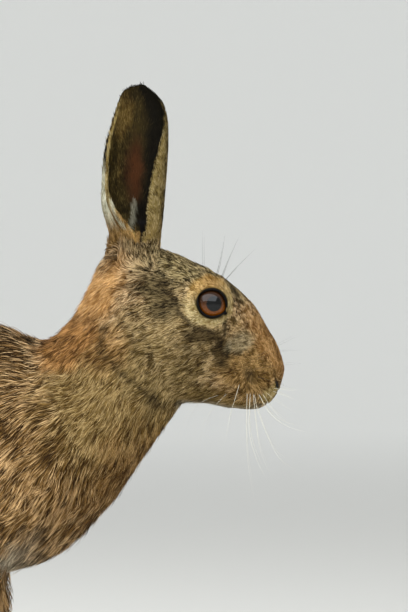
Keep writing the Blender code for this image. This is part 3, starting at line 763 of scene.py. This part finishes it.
# Bare places, as lines on the side view in photo pixels
bareLines = {
    "nostril": [(273.8, 369), (274.4, 374), (275.0, 379), (276.8, 386)],
    "eyeCorner": [(221, 309), (225.5, 313.5)],
    "earSlit": [(142.4, 222), (142.4, 232), (141.6, 247)],
    "mouth": [(275.5, 399), (268, 401.5), (256, 402), (243, 399.5)],
}


def bareness(points, normals):
    # how bare the skin is at the lids, nostrils, lips and the ears' slits, and how much of it is nose
    x, y = toPhoto(points)
    off = np.abs(points[:, 1])
    far = {name: segmentDistance(x, y, line) for name, line in bareLines.items()}
    lids = fade(lidPlace(points), 1.2, 1.32)
    corner = fade(far["eyeCorner"], 1.6, 2.6) * ramp(off, 0.012, 0.018)
    wide = 0.6 + 1.2 * ramp(y, 376, 384)
    nostril = fade(far["nostril"], wide, wide + 0.7)
    nostril = nostril * ramp(off, 0.003, 0.006) * (0.5 + 0.5 * ramp(y, 376, 383))
    wide = 1.7 - 1.1 * ramp(y, 228, 246)
    slit = fade(far["earSlit"], wide, wide + 0.8) * ramp(normals[:, 1] * np.sign(points[:, 1]), 0.0, 0.4)
    lips = fade(far["mouth"], 0.5, 1.5)
    nose = ramp(points[:, 0], 0.2615, 0.265) * fade(off, 0.003, 0.006) * ramp(points[:, 2], 0.255, 0.258)
    return np.clip(lids + corner + nostril + (lips + slit), 0, 1), nose


def zoneShare(x, y, zone, wobble):
    _, cx, cy, wide, high, turn, strength = zone
    c, s = math.cos(math.radians(turn)), math.sin(math.radians(turn))
    u, v = ((x - cx) * c + (y - cy) * s) / wide, (-(x - cx) * s + (y - cy) * c) / high
    return strength * fade(np.hypot(u, v) + wobble, 0.55, 1.25)


def paint(tone, *coats):
    for kind, share in coats:
        tone = blend(tone, tones[kind], np.clip(share, 0, 1))
    return tone


def paintZones(tone, zones, x, y, wobble):
    return paint(tone, *((zone[0], zoneShare(x, y, zone, wobble)) for zone in zones))


def paintLines(tone, lines, x, y, ragged, soft, within=1.0):
    for kind, wide, strength, *line in lines:
        away = segmentDistance(x, y, np.reshape(line, (-1, 2))) + ragged
        tone = paint(tone, (kind, strength * fade(away, wide * soft[0], wide * soft[1]) * within))
    return tone


def eyeRing(x, y, points, wobble):
    # how much each point is in the pale ring, and how golden it is there
    ahead, up = x - ringForm["middle"][0], ringForm["middle"][1] - y
    far = np.hypot(ahead, up) / ringForm["opening"] + wobble * 0.35
    turn = np.degrees(np.arctan2(up, ahead))
    angles, edges, gold = np.array(ringForm["rows"]).T
    edge = np.interp(turn, angles, edges)
    low, high = ringForm["edge"]
    share = fade(far, edge + low, edge + high) * ramp(np.abs(points[:, 1]), 0.007, 0.012)
    return share, np.interp(turn, angles, gold)


def markedTones(points, normals):
    # the middle, light and dark tone of the fur at each point: an N x 3 x 3 array
    x, y = toPhoto(points)
    wobble = 0.16 * softNoise(points, 0.006) + 0.12 * softNoise(points, 0.0022, 9.0)
    tone = np.repeat(tones["back"][None], len(points), axis=0)
    tone = paintZones(tone, bodyZones, points[:, 0], points[:, 2], wobble)
    tone = paintZones(tone, headZones, x, y, wobble)
    tone = paintLines(tone, headLines, x, y, 1.2 * softNoise(points, 0.0016), (0.5, 1.5))
    side, off, height = np.sign(points[:, 1]), np.abs(points[:, 1]), points[:, 2]
    ring, gold = eyeRing(x, y, points, wobble)
    belly = ramp(-normals[:, 2] + wobble, 0.25, 0.75) * fade(points[:, 0], 0.06, 0.12)
    belly = belly * fade(height, 0.17, 0.2)
    innerLeg = ramp(-normals[:, 1] * side, 0.1, 0.6) * fade(height, 0.13, 0.17)
    chin = ramp(-normals[:, 2], 0.7, 0.95) * fade(off, 0.004, 0.013) * ramp(points[:, 0], 0.17, 0.19)
    tail = ramp(-0.2145 - points[:, 0], 0.0, 0.006) * fade(height, 0.15, 0.17) * ramp(height, 0.05, 0.06)
    tailBack = ramp(-normals[:, 0] + wobble, 0.35, 0.6) * fade(off / 0.016 + wobble, 0.5, 0.8)
    tone = paint(tone, ("creamRing", ring), ("goldRing", ring * gold), ("white", belly),
                 ("white", innerLeg * 0.7), ("white", chin * ramp(height, 0.235, 0.24) * 0.4),
                 ("white", tail), ("black", tail * tailBack))
    isEar, ear = earTones(points, normals, x, y, wobble)
    return blend(tone, ear, isEar)


def earTones(points, normals, x, y, wobble):
    # the same on the ears, and how much of each point is ear
    isEar, up, swing, inside = earPlace(points, normals)
    side = np.sign(points[:, 1])
    across = np.where(inside, np.sin(np.radians(swing)), 0)
    pastRear = -swing - np.interp(np.clip(up, 0, 1), earTable[:, 0], earTable[:, 4])
    nearLow = (side < 0) * ramp(-swing, 40, 80)
    outer = paint(
        np.repeat(tones["earWhite"][None], len(points), axis=0),
        ("earDark", ramp(up + wobble * 0.1, 0.46, 0.58)),
        ("earGrey", ramp(swing, 25, 60)),
        ("earCream", ramp(swing, 100, 125) * 0.35),
        ("earBuff", fade(up + wobble * 0.1, 0.06, 0.24) * (1 - ramp(swing, 0, 50) * 0.8)),
        ("earCream", nearLow * 0.8 * fade(up, 0.4, 0.52)),
        ("earBuff", nearLow * fade(up, 0.14, 0.26)),
        ("earDark", ramp(pastRear, -9, -3) * ramp(up, 0.36, 0.5)))
    inner = np.repeat(tones["earOlive"][None], len(points), axis=0)
    # painted shade: the front half of the inside of the ear is darkened, as in the hollow under the front
    # rim
    inner = paint(inner, ("earDark", ramp(across + 0.5 * wobble, -0.15, 0.55)))
    inner = paintZones(inner, earZones, x, y, wobble)
    inner = paint(inner, ("earCream", ramp(pastRear, -12, -5) * 0.9 * fade(up, 0.78, 0.92)))
    ear = np.where(inside[:, None, None], inner, outer)
    ear = paint(ear, ("earDark", ramp(up + wobble * 0.08, 0.84, 0.93) * (1 - 0.5 * inside)))
    facing = ramp(normals[:, 1] * side, 0.1, 0.5)
    ear = paintLines(ear, earLines, x, y, 0.8 * softNoise(points, 0.0012), (0.6, 1.3), facing)
    return isEar, ear


def setTone(mesh, tone):
    layer = mesh.color_attributes.new("tone", "FLOAT_COLOR", "POINT")
    flat = np.ones((len(tone), 4), np.float32)
    flat[:, :3] = tone
    layer.data.foreach_set("color", flat.ravel())


# The finish of the skin: what shows between the tufts, darkened there with painted shade under the coat, on
# the lids, in the ears and on the nose
skinFinish = {"shadeUnderCoat": 0.62, "lidAndOpeningShadeTone": (11, 8, 6), "noseTone": (140, 96, 68), "roughness": 0.6}


def dressSkin():
    mesh = skin.data
    smooth(mesh)
    points, normals = readPoints(mesh), readPoints(mesh, "normal")
    isEar = earPlace(points, normals)[0]
    # painted shade: the skin under the coat is darkened between the tufts, the ears keep their tone
    shade = skinFinish["shadeUnderCoat"] + (1 - skinFinish["shadeUnderCoat"]) * isEar
    bare, nose = bareness(points, normals)
    tone = markedTones(points, normals)[:, 0] * shade[:, None]
    tone = blend(tone, np.array(srgb(*skinFinish["noseTone"])), nose)
    # the lids are dark skin of their own; in the nostrils, along the mouth and in the ears' slits the same
    # dark tone is painted shade of the openings
    setTone(mesh, blend(tone, np.array(srgb(*skinFinish["lidAndOpeningShadeTone"])), bare))
    mesh.materials.clear()
    mesh.materials.append(newMaterial("shortFur", shortFurShader))
    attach(skin, "root")
    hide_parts(*fleshNodes)


def shortFurShader(w):
    tone = w.add("ShaderNodeVertexColor", {"layer_name": "tone"})
    grain = w.streaks(w.place(), (900.0, 900.0, 260.0), 3.0)
    bump = w.add("ShaderNodeBump", None, {"Height": grain, "Strength": 0.5, "Distance": 0.0006})
    return w.finish(tone * (0.72 + 0.56 * grain), skinFinish["roughness"], 0.08, {"Normal": bump})


dressSkin()
report("skin dressed")

# Coat: thin tapered tufts over the skin. Each piece has its region, its tufts, their half width in
# millimetres and the rings along each tuft.
coatPieces = {
    "coatFaceRight": ("face", -1, 56000, 0.14, 2),
    "coatFaceLeft": ("face", 1, 30000, 0.2, 2),
    "coatCheekRight": ("cheek", -1, 38000, 0.17, 3),
    "coatCheekLeft": ("cheek", 1, 21000, 0.24, 3),
    "coatNeckRight": ("neck", -1, 34000, 0.2, 3),
    "coatNeckLeft": ("neck", 1, 18000, 0.3, 3),
    "coatShoulderRight": ("shoulder", -1, 36000, 0.23, 3),
    "coatShoulderLeft": ("shoulder", 1, 18000, 0.36, 3),
    "coatFlankRight": ("flank", -1, 14000, 0.35, 3),
    "coatFlankLeft": ("flank", 1, 14000, 0.35, 3),
    "coatHaunchRight": ("haunch", -1, 15000, 0.35, 3),
    "coatHaunchLeft": ("haunch", 1, 15000, 0.35, 3),
    "coatEars": ("ear", 0, 38000, 0.15, 2),
    "coatLegs": ("legs", 0, 33000, 0.23, 2),
}
coatForm = {
    "wander": 0.16, "whorl": (248, 366, 9, 0.7), "swirl": 0.35, "clump": 0.5, "clumpSize": 10,
    "lengths": (0.7, 1.25), "heights": (0.55, 1.25), "widths": (0.65, 1.3), "shorter": 0.76,
    "guard": 0.07, "guardFrom": 0.006, "guardLength": 1.15, "guardWidth": 0.6,
    "clear": 0.0006, "patch": 0.003,
    "steps": {2: [(0.0, 0.7), (0.5, 1.0)], 3: [(0.0, 0.6), (0.38, 1.0), (0.74, 0.75)]},
    "light": (0.48, 0.88), "dark": (0.12, 0.46), "lockShare": 0.42, "darkTips": 0.2,
    "ticked": [("crown", 178, 272, 44, 30, 15, 1.0), ("back", 0, 350, 60, 60, 0, 1.0)],
}
regionNames = ["face", "cheek", "neck", "shoulder", "flank", "haunch", "ear", "legs"]
# The regions meet at seams: lines on the side view from an upper to a lower point, and places along x
seams = {"head": ((0.134, 0.32), (0.201, 0.2466)), "neck": ((0.1033, 0.2874), (0.152, 0.183)),
         "face": 0.203, "shoulder": -0.03, "flank": -0.125}


def aheadOf(seam, x, z):
    (x1, z1), (x2, z2) = seam
    return (x - x1) * (z1 - z2) + (z - z1) * (x2 - x1) > 0


def regionOf(points, normals):
    x, off, z = points[:, 0], np.abs(points[:, 1]), points[:, 2]
    region = np.where(x > seams["shoulder"], 3, np.where(x > seams["flank"], 4, 5))
    region = np.where(aheadOf(seams["neck"], x, z), 2, region)
    region = np.where(aheadOf(seams["head"], x, z) & (z > 0.23), np.where(x > seams["face"], 0, 1), region)
    low = (z < 0.118) & ((x > 0.03) | (off > 0.03)) & (x < 0.16) & (x > -0.212)
    region = np.where(low & ((x > 0.0) | (z < 0.075)), 7, region)
    return np.where(earPlace(points, normals)[0] > 0.5, 6, region)


def skinSurface():
    mesh = skin.data
    corners = trianglesOf(mesh)
    points, normals = readPoints(mesh), readPoints(mesh, "normal")
    a, b, c = points[corners[:, 0]], points[corners[:, 1]], points[corners[:, 2]]
    area = np.linalg.norm(np.cross(b - a, c - a), axis=1) / 2
    middle, facing = (a + b + c) / 3, unit(normals[corners].sum(axis=1))
    return {"points": points, "normals": normals, "corners": corners, "area": area, "middle": middle,
            "facing": facing, "region": regionOf(middle, facing), "tree": treeOf(points)}


surface = skinSurface()
report("skin measured")


def rootDensity(points, normals):
    # fewer roots inside the ears, none on the lids, in the nostrils and between the lips
    isEar, _, swing, inside = earPlace(points, normals)
    rim = ramp(-swing, 78, 92) + ramp(swing, 100, 130)
    innerShare = 0.22 + 0.6 * ramp(-np.sin(np.radians(swing)), 0.1, 0.7) + rim
    density = np.where(inside & (isEar > 0.5), innerShare, 1.0)
    bare, nose = bareness(points, normals)
    small = 1 + 1.2 * fade(lidPlace(points), 1.4, 2.3)
    return density * small * fade(bare, 0.3, 0.6) * (1 - 0.6 * nose)


def rootsFor(region, side, count):
    share = surface["area"] * (surface["region"] == regionNames.index(region))
    if side:
        share = share * (surface["middle"][:, 1] * side > 0)
    share = share * rootDensity(surface["middle"], surface["facing"])
    reached = np.cumsum(share)
    pick = (np.arange(count) + rng.random(count)) / count * reached[-1]
    chosen = surface["corners"][np.minimum(np.searchsorted(reached, pick), len(share) - 1)]
    u, v = rng.random(count), rng.random(count)
    fold = u + v > 1
    u, v = np.where(fold, 1 - u, u), np.where(fold, 1 - v, v)
    weight = np.column_stack([1 - u - v, u, v])[:, :, None]
    return (surface["points"][chosen] * weight).sum(1), unit((surface["normals"][chosen] * weight).sum(1))


def earFoot(points):
    # 1 where an ear stands on the crown, 0 a little way from it
    side = np.where(points[:, 1] > 0, 1, -1)
    (footX, footY), (wide, deep) = earForm["foot"], earForm["footReach"]
    footX = footX - np.where(side > 0, earForm["leftBack"] + 0.001, 0.0)
    away = np.hypot((points[:, 0] - footX) / wide, (points[:, 1] * side - footY) / deep)
    return fade(away, 0.92, 1.15) * ramp(points[:, 2], 0.325, 0.345)


def coatAt(points, normals):
    # the lie, length and height of the tufts at their roots
    way, length, deep = combAt(points)
    isEar, up, swing, inside = earPlace(points, normals)
    frontRoll = np.interp(np.clip(up, 0, 1), earTable[:, 0], earTable[:, 5])
    frontRim = ramp(swing - frontRoll, -38, -10) * (isEar > 0.5)
    sideways = np.where(inside, 0.5 * np.sin(np.radians(swing)), -0.1) - 0.9 * frontRim
    upwards = unit(np.column_stack([sideways, np.zeros(len(points)), np.ones(len(points))]))
    nearEar = earFoot(points)
    way = unit(blend(way, upwards, np.maximum(isEar, nearEar)))
    rim = np.where(inside, ramp(-swing, 80, 95), ramp(-swing, 70, 95))
    outerHair, innerHair = earForm["hairs"]
    earLength = np.where(inside, innerHair, outerHair) + earForm["rimHairs"] * rim
    length = length + (earLength - length) * np.maximum(isEar, nearEar * 0.6)
    deep = deep + (0.0005 - deep) * np.maximum(isEar, nearEar)
    lids = fade(lidPlace(points), 1.3, 2.0)
    x, y = toPhoto(points)
    gap = np.minimum(segmentDistance(x, y, bareLines["earSlit"]),
                     segmentDistance(x, y, bareLines["nostril"]) + 1)
    length = length * (1 - 0.45 * lids) * (1 - 0.6 * fade(gap, 2, 5))
    return way, length, deep * (1 - 0.3 * lids)


def oneCoat(name, region, side, count, halfWidth, rings):
    root, normal = rootsFor(region, side, count)
    way, length, deep = coatAt(root, normal)
    way = unit(way - normal * np.sum(way * normal, axis=1)[:, None] + 1e-6)
    whorlX, whorlY, reach, wild = coatForm["whorl"]
    x, y = toPhoto(root)
    wander = coatForm["wander"] + wild * np.exp(-((x - whorlX) ** 2 + (y - whorlY) ** 2) / reach**2)
    broad = coatForm["swirl"] * softNoise(root, 0.012, 4.0) * ramp(length, 0.004, 0.014)
    narrow = coatForm["swirl"] * softNoise(root, 0.005, 7.0)
    way = rotated(way, normal, rng.normal(0, 1, count) * wander + broad + narrow)
    length = length * rng.uniform(*coatForm["lengths"], count)
    length = length * (1 + (coatForm["shorter"] - 1) * ramp(length, 0.008, 0.013)
                       * ramp(root[:, 0], -0.06, 0.02))
    height = deep * rng.uniform(*coatForm["heights"], count)
    guard = (rng.random(count) < coatForm["guard"]) & (length > coatForm["guardFrom"])
    height = np.where(guard, height + 0.0004 + 0.11 * length, height)
    length = np.where(guard, length * coatForm["guardLength"], length)
    # the tip follows the skin that it lies over
    tip = root + way * length[:, None]
    near = nearest(surface["tree"], tip)
    under = surface["normals"][near]
    drop = -np.sum((tip - surface["points"][near]) * under, axis=1)
    tip = tip + under * (np.clip(drop, -0.6 * length, 0.6 * length) + height)[:, None]
    # tips gather into small locks
    centre = rng.permutation(count)[: count // coatForm["clumpSize"]]
    lockIndex = nearest(treeOf(root[centre]), root)
    lock = centre[lockIndex]
    pull = coatForm["clump"] * ramp(length, 0.003, 0.012) * rng.uniform(0.3, 1.0, count)
    tip = blend(tip, tip[lock] + (root - root[lock]) * 0.25, pull)
    bend = root + way * (length * 0.42)[:, None] + normal * height[:, None]
    start = root - normal * 0.0003
    for place in (start, bend, tip):
        place[:, 2] = np.maximum(place[:, 2], coatForm["clear"])
    across = rotated(unit(np.cross(tip - start, normal)), unit(tip - start), rng.normal(0, 0.45, count))
    width = halfWidth * 0.001 * rng.uniform(*coatForm["widths"], count)
    width = width * np.where(guard, coatForm["guardWidth"], 1.0)
    points = []
    for t, wide in coatForm["steps"][rings]:
        middle = start * (1 - t) ** 2 + bend * (2 * t * (1 - t)) + tip * t**2
        half = across * (width * wide)[:, None]
        points += [middle - half, middle + half]
    points = np.stack([*points, tip], axis=1)
    rows = points.shape[1]
    pattern = [face for a in range(0, rows - 3, 2) for face in ((a, a + 1, a + 3), (a, a + 3, a + 2))]
    pattern = np.array([*pattern, (rows - 3, rows - 2, rows - 1)])
    faces = (np.arange(count)[:, None, None] * rows + pattern).reshape(-1, 3)
    mesh = meshFromFaces(name, points.reshape(-1, 3), faces)
    setTone(mesh, tuftTones(root, normal, length, rng.random(len(centre))[lockIndex], rings))
    facing = unit(normal + across * rng.normal(0, 0.3, count)[:, None]
                  + way * rng.normal(-0.1, 0.2, count)[:, None])
    layer = mesh.attributes.new("custom_normal", "FLOAT_VECTOR", "POINT")
    layer.data.foreach_set("vector", np.repeat(facing[:, None], rows, axis=1).astype(np.float32).ravel())
    smooth(mesh)
    placePatches(mesh, root, rows, pattern, rings)
    obj = newPiece(name, mesh)
    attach(obj, "root")
    return obj


def tuftTones(root, normal, length, lockDraw, rings):
    # tones along each tuft: dark at the root, partly the hair's own dark base and partly painted shade in
    # the gaps between tufts, then its own band, then the tip
    count = len(root)
    tone = markedTones(root, normal)
    x, y = toPhoto(root)
    patchy = 0.2 * softNoise(root, 0.004, 2.0) + 0.12 * softNoise(root, 0.0015, 6.0)
    patchy = patchy + 0.16 * softNoise(root, 0.0075, 1.0) * ramp(length, 0.009, 0.014)
    draw = rng.random(count) * (1 - coatForm["lockShare"]) + lockDraw * coatForm["lockShare"] + patchy
    rank = np.argsort(np.argsort(draw)) / count
    ticked = np.maximum(*(zoneShare(x, y, zone, 0) for zone in coatForm["ticked"]))
    rank = 0.5 + (rank - 0.5) * (1 + 0.5 * ticked)
    light, dark = ramp(rank, *coatForm["light"]), fade(rank, *coatForm["dark"])
    band = blend(blend(tone[:, 0], tone[:, 1], light), tone[:, 2], dark)
    band = band * rng.uniform(0.85, 1.15, count)[:, None]
    darkTip = (rng.random(count) < coatForm["darkTips"])[:, None]
    end = np.where(darkTip, tone[:, 2], blend(band, tone[:, 2], dark * 0.5))
    # the root tone is partly the hair's own dark base and partly painted shade among the tufts
    rootDarkAndShade = tone[:, 0] * 0.2 + tone[:, 2] * 0.5
    lower = rootDarkAndShade * 0.35 + band * 0.65
    along = [rootDarkAndShade, rootDarkAndShade, lower, lower, band, band, end] if rings == 3 else [rootDarkAndShade, rootDarkAndShade, band, band, end]
    return np.stack(along, axis=1).reshape(-1, 3)


def numbered(order, most):
    # each root's number in the order: whole rows of it, and its place in its row
    number = np.empty(len(order), int)
    number[order] = np.arange(len(order))
    return number // most, number % most


def placePatches(mesh, root, rows, pattern, rings):
    # the bake map: the roots unrolled round their own part's axis, with an own small patch each
    spread = root - root.mean(0)
    _, _, axes = np.linalg.svd(spread[:: max(1, len(spread) // 4000)], full_matrices=False)
    turn = np.arctan2(spread @ axes[2], spread @ axes[1])
    columns = math.ceil(math.sqrt(len(root)))
    column = numbered(np.argsort(turn, kind="stable"), columns)[0]
    row = numbered(np.lexsort((spread @ axes[0], column)), columns)[1]
    half = coatForm["patch"] / 2
    u, v = (column + 0.5) / columns, (row + 0.5) / columns
    across = np.array([(-1, 1)[i % 2] for i in range(rows - 1)] + [0]) * half
    along = np.array([(i // 2) / rings for i in range(rows - 1)] + [1.0]) * 2 * half - half
    corner = pattern.ravel()
    flat = np.stack([u[:, None] + across[corner], v[:, None] + along[corner]], axis=2)
    mesh.uv_layers.new(name="OFBake").data.foreach_set("uv", flat.astype(np.float32).ravel())


def coatShader(w):
    tone = w.add("ShaderNodeVertexColor", {"layer_name": "tone"})
    patchy = w.add("ShaderNodeTexNoise", None, {"Vector": w.place(), "Scale": 160.0, "Detail": 2.0})
    return w.finish(tone * (0.86 + 0.28 * patchy), 0.75, 0.12)


coatMaterial = newMaterial("coatStrands", coatShader)
for name, (region, side, count, halfWidth, rings) in coatPieces.items():
    oneCoat(name, region, side, count, halfWidth, rings).data.materials.append(coatMaterial)
report("coat grown")

# Eyes: a glossy ball with an amber iris, brightest below with painted light, and a wide dark pupil
irisForm = {"pupil": 0.46, "soft": 0.05, "edge": (0.76, 0.9), "paintedLightBelow": (-0.35, 0.65),
            "deep": (44, 23, 8), "litAmber": (124, 66, 13), "rim": (24, 15, 8), "look": (0.19, 1.0, -0.01)}


def eyeShader(w):
    place = w.place() * (1 / eyeForm["radius"])
    x, y = (w.add("ShaderNodeSeparateXYZ", None, {"Vector": place}, out=k) for k in range(2))
    far = (x * x + y * y) ** 0.5
    fibre = w.streaks(place, (9.0, 9.0, 0.6), 5.0, 1.6)
    # painted light: the lower part of the iris is lighter, as in a hollow lit from above
    low = y.between(*irisForm["paintedLightBelow"])
    amber = (fibre * low * 1.6).mixed(solid(irisForm["deep"]), solid(irisForm["litAmber"]))
    iris = far.between(*irisForm["edge"]).mixed(amber, solid(irisForm["rim"]))
    pupil = 1 - far.between(irisForm["pupil"] - irisForm["soft"], irisForm["pupil"] + irisForm["soft"])
    return w.finish(pupil.mixed(iris, (0.002, 0.002, 0.002, 1)), 0.5, 0.0,
                    {"Coat Weight": 1.0, "Coat Roughness": 0.01, "Coat IOR": 1.38})


def makeEye(side, place):
    ball = ballMesh("eyeBall", np.zeros(3), eyeForm["radius"] - 0.0001, 64, 96)
    smooth(ball)
    eye = newPiece(f"eyeball_{place}", ball)
    x, y, z = irisForm["look"]
    look = Vector((x, y * side, z)).normalized()
    down = squareTo(look, Vector((0.1, 0, -1)))
    turn = Matrix((down.cross(look), down, look)).transposed().to_4x4()
    eye.matrix_world = Matrix.Translation(Vector(eyeCentre(side))) @ turn
    ball.materials.append(eyeMaterial)
    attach(eye, "root")
    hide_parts(f"eye_{place}")


eyeMaterial = newMaterial("eyeAmber", eyeShader)
makeEye(-1, "right")
makeEye(1, "left")


hornForm = {"deep": (38, 30, 26), "pale": (96, 80, 66)}


def hornShader(w):
    grain = w.streaks(w.place(), (60.0, 900.0, 900.0), 2.0)
    colour = grain.mixed(solid(hornForm["deep"]), solid(hornForm["pale"]))
    return w.finish(colour, 0.35 + 0.2 * grain, 0.45)


hornMaterial = newMaterial("clawHorn", hornShader)
for name in [n for n in nodes if n.startswith("claw_")]:
    claw = newPiece(name.replace("claw", "horn"), nodes[name].data.copy())
    claw.data.materials.clear()
    claw.data.materials.append(hornMaterial)
    joined = claw.modifiers.new("joined", "WELD")
    joined.merge_threshold = 0.00001
    finer = claw.modifiers.new("finer", "SUBSURF")
    finer.levels = finer.render_levels = 2
    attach(claw, "root")
    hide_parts(name)
report("eyes and claws")

# Whiskers: how far the tip stands out to the side in metres, the thickness against the form's, and the
# photo pixels from the root to the tip
whiskerForm = {"thick": 0.00014, "sunk": 0.001, "leftShorter": (0.86, 0.93), "leftShift": (1.5, -0.5),
               "paleTone": (226, 220, 200), "darkTone": (44, 34, 22)}
paleWhiskers = rowsOf("""
0.01 0.9 274 388 288 389.5 304 388.8
0.012 0.9 273 391 284 395 296 399.5
0.024 1 258 393 270 413 288 425.5 310 431.6
0.02 0.8 262 393 274 411 290 424
0.016 0.5 266 392 278 402 297 412
0.03 0.9 254 394 259 415 276 453 295 468.5
0.034 0.9 250 392 248.8 430 256 457.5 266 477
0.036 0.8 247 392 246 425 247.5 462 254 499.5
0.03 0.8 253 393 255.7 423 260 450 270 474.5
0.04 1 239 384 235 397 229 416 223.6 446
0.046 0.45 228 392 212 408 203 424 197.7 459
0.05 0.4 220 394 200 402 186 416 174 446
""")
darkWhiskers = rowsOf("""
0.014 0.7 252 369 270 366 300 362.8
0.012 0.6 254 360 274 352 300 349.5
0.012 0.5 256 356 278 345 299 334.8
0.014 0.7 256 376 270 380 292 388
0.01 0.5 203 276 202.5 250 202.7 230
0.01 0.9 216 276 220.5 258 225 234
0.01 0.9 221 278 229 258 239 236.4
0.008 0.7 224 281 239 265 255.7 249
""")


def headHalfWidth(x, z):
    # how far the skin stands from the middle plane at a place of the side view
    near = np.hypot(surface["points"][:, 0] - x, surface["points"][:, 2] - z) < 0.0015
    return float(np.abs(surface["points"][near, 1]).max()) if near.any() else 0.01


def makeWhiskers(name, rows, tone):
    curve = bpy.data.curves.new(name, "CURVE")
    curve.dimensions = "3D"
    curve.bevel_depth = whiskerForm["thick"]
    curve.bevel_resolution = 1
    for side in (-1, 1):
        for out, thick, *places in rows:
            places = np.reshape(places, (-1, 2))
            wide = headHalfWidth(*fromPhoto(*places[0])) - whiskerForm["sunk"]
            line = smoothRows(places, 8)
            if side > 0:
                line = line[0] + (line - line[0]) * whiskerForm["leftShorter"] + whiskerForm["leftShift"]
            share = np.linspace(0, 1, len(line))
            spline = curve.splines.new("POLY")
            spline.points.add(len(line) - 1)
            for point, (px, py), t in zip(spline.points, line.tolist(), share.tolist()):
                x, z = fromPhoto(px, py)
                point.co = (x, (wide + whiskerForm["sunk"] * min(1, t * 8) + out * t) * side, z, 1.0)
                point.radius = (1.05 - t) * thick
    obj = newPiece(name, curve)
    curve.materials.append(newMaterial(name, lambda w: w.add("ShaderNodeBsdfPrincipled", None, {
        "Base Color": solid(tone), "Roughness": 0.4})))
    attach(obj, "root")


makeWhiskers("whiskersPale", paleWhiskers, whiskerForm["paleTone"])
makeWhiskers("whiskersDark", darkWhiskers, whiskerForm["darkTone"])

# Studio: a wide pale floor that curves up far away, pale air, soft lamps, and a camera level with the head
studio = {
    "floorTone": (206, 205, 201), "farTone": (250, 250, 248), "flat": 9.0, "curve": 4.0, "wall": 7.0,
    "airTone": (224, 226, 226), "air": 0.92, "distance": 3.0, "aim": (0.1, 0.0, 0.25),
    "lamps": {  # power, place, size, tint, seen in gloss
        "key": (106.0, (-0.3, -1.6, 1.95), (5.0, 2.2), (0.88, 0.94, 1.0), True),
        "fill": (10.0, (2.2, -2.2, 0.9), (1.2, 1.2), (1.0, 0.96, 0.9), False),
        "rim": (26.0, (-1.6, 1.3, 1.9), (1.0, 1.0), (1.0, 0.98, 0.95), True),
    },
}


def floorShader(w):
    # paler far away, where the lamps no longer reach
    away = w.add("ShaderNodeVectorMath", {"operation": "LENGTH"}, {0: w.place()}, out=1)
    share = away.between(1.0, studio["flat"])
    return w.finish(share.mixed(solid(studio["floorTone"]), solid(studio["farTone"])), 0.85, 0.2)


def makeFloor(sides=96, bends=18):
    turn = np.linspace(0, math.pi / 2, bends)
    flat, curve = studio["flat"], studio["curve"]
    reach = np.concatenate([[0.0, flat * 0.5], flat + curve * np.sin(turn), [flat + curve]])
    height = np.concatenate([[0.0, 0.0], curve - curve * np.cos(turn), [studio["wall"]]])
    swing = fullTurn(sides)
    points = [np.column_stack([r * np.cos(swing), r * np.sin(swing), swing * 0 + z])
              for r, z in zip(reach, height)]
    i = np.arange(sides)
    j = (i + 1) % sides
    faces = [np.column_stack([r * sides + i, (r + 1) * sides + i, (r + 1) * sides + j, r * sides + j])
             for r in range(len(reach) - 1)]
    mesh = meshFromFaces("studioFloor", np.vstack(points), np.vstack(faces))
    smooth(mesh)
    mesh.materials.append(newMaterial("studioFloor", floorShader))
    newPiece("studioFloor", mesh)


makeFloor()

air = bpy.data.worlds.new("air")
air.use_nodes = True
airSockets = air.node_tree.nodes["Background"].inputs
airSockets["Color"].default_value = solid(studio["airTone"])
airSockets["Strength"].default_value = studio["air"]
bpy.context.scene.world = air

for name, (power, place, size, tint, inGloss) in studio["lamps"].items():
    lamp = bpy.data.lights.new(name, "AREA")
    lamp.shape = "RECTANGLE"
    lamp.energy = power
    lamp.size, lamp.size_y = size
    lamp.color = tint
    obj = newPiece(name, lamp)
    obj.location = place
    obj.visible_glossy = inGloss
    obj.rotation_mode = "QUATERNION"
    obj.rotation_quaternion = (Vector(studio["aim"]) - Vector(place)).to_track_quat("-Z", "Y")

bpy.context.scene.view_settings.view_transform = "Standard"

photoX, photoZ = fromPhoto(photo["width"] / 2, photo["height"] / 2)
camera = newPiece("camera", bpy.data.cameras.new("camera"))
camera.location = (photoX, -studio["distance"], photoZ)
camera.rotation_euler = (math.pi / 2, 0, 0)
camera.data.lens = camera.data.sensor_width * studio["distance"] / (photo["height"] * photo["pixel"])
bpy.context.scene.camera = camera

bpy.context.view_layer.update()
report("studio ready")
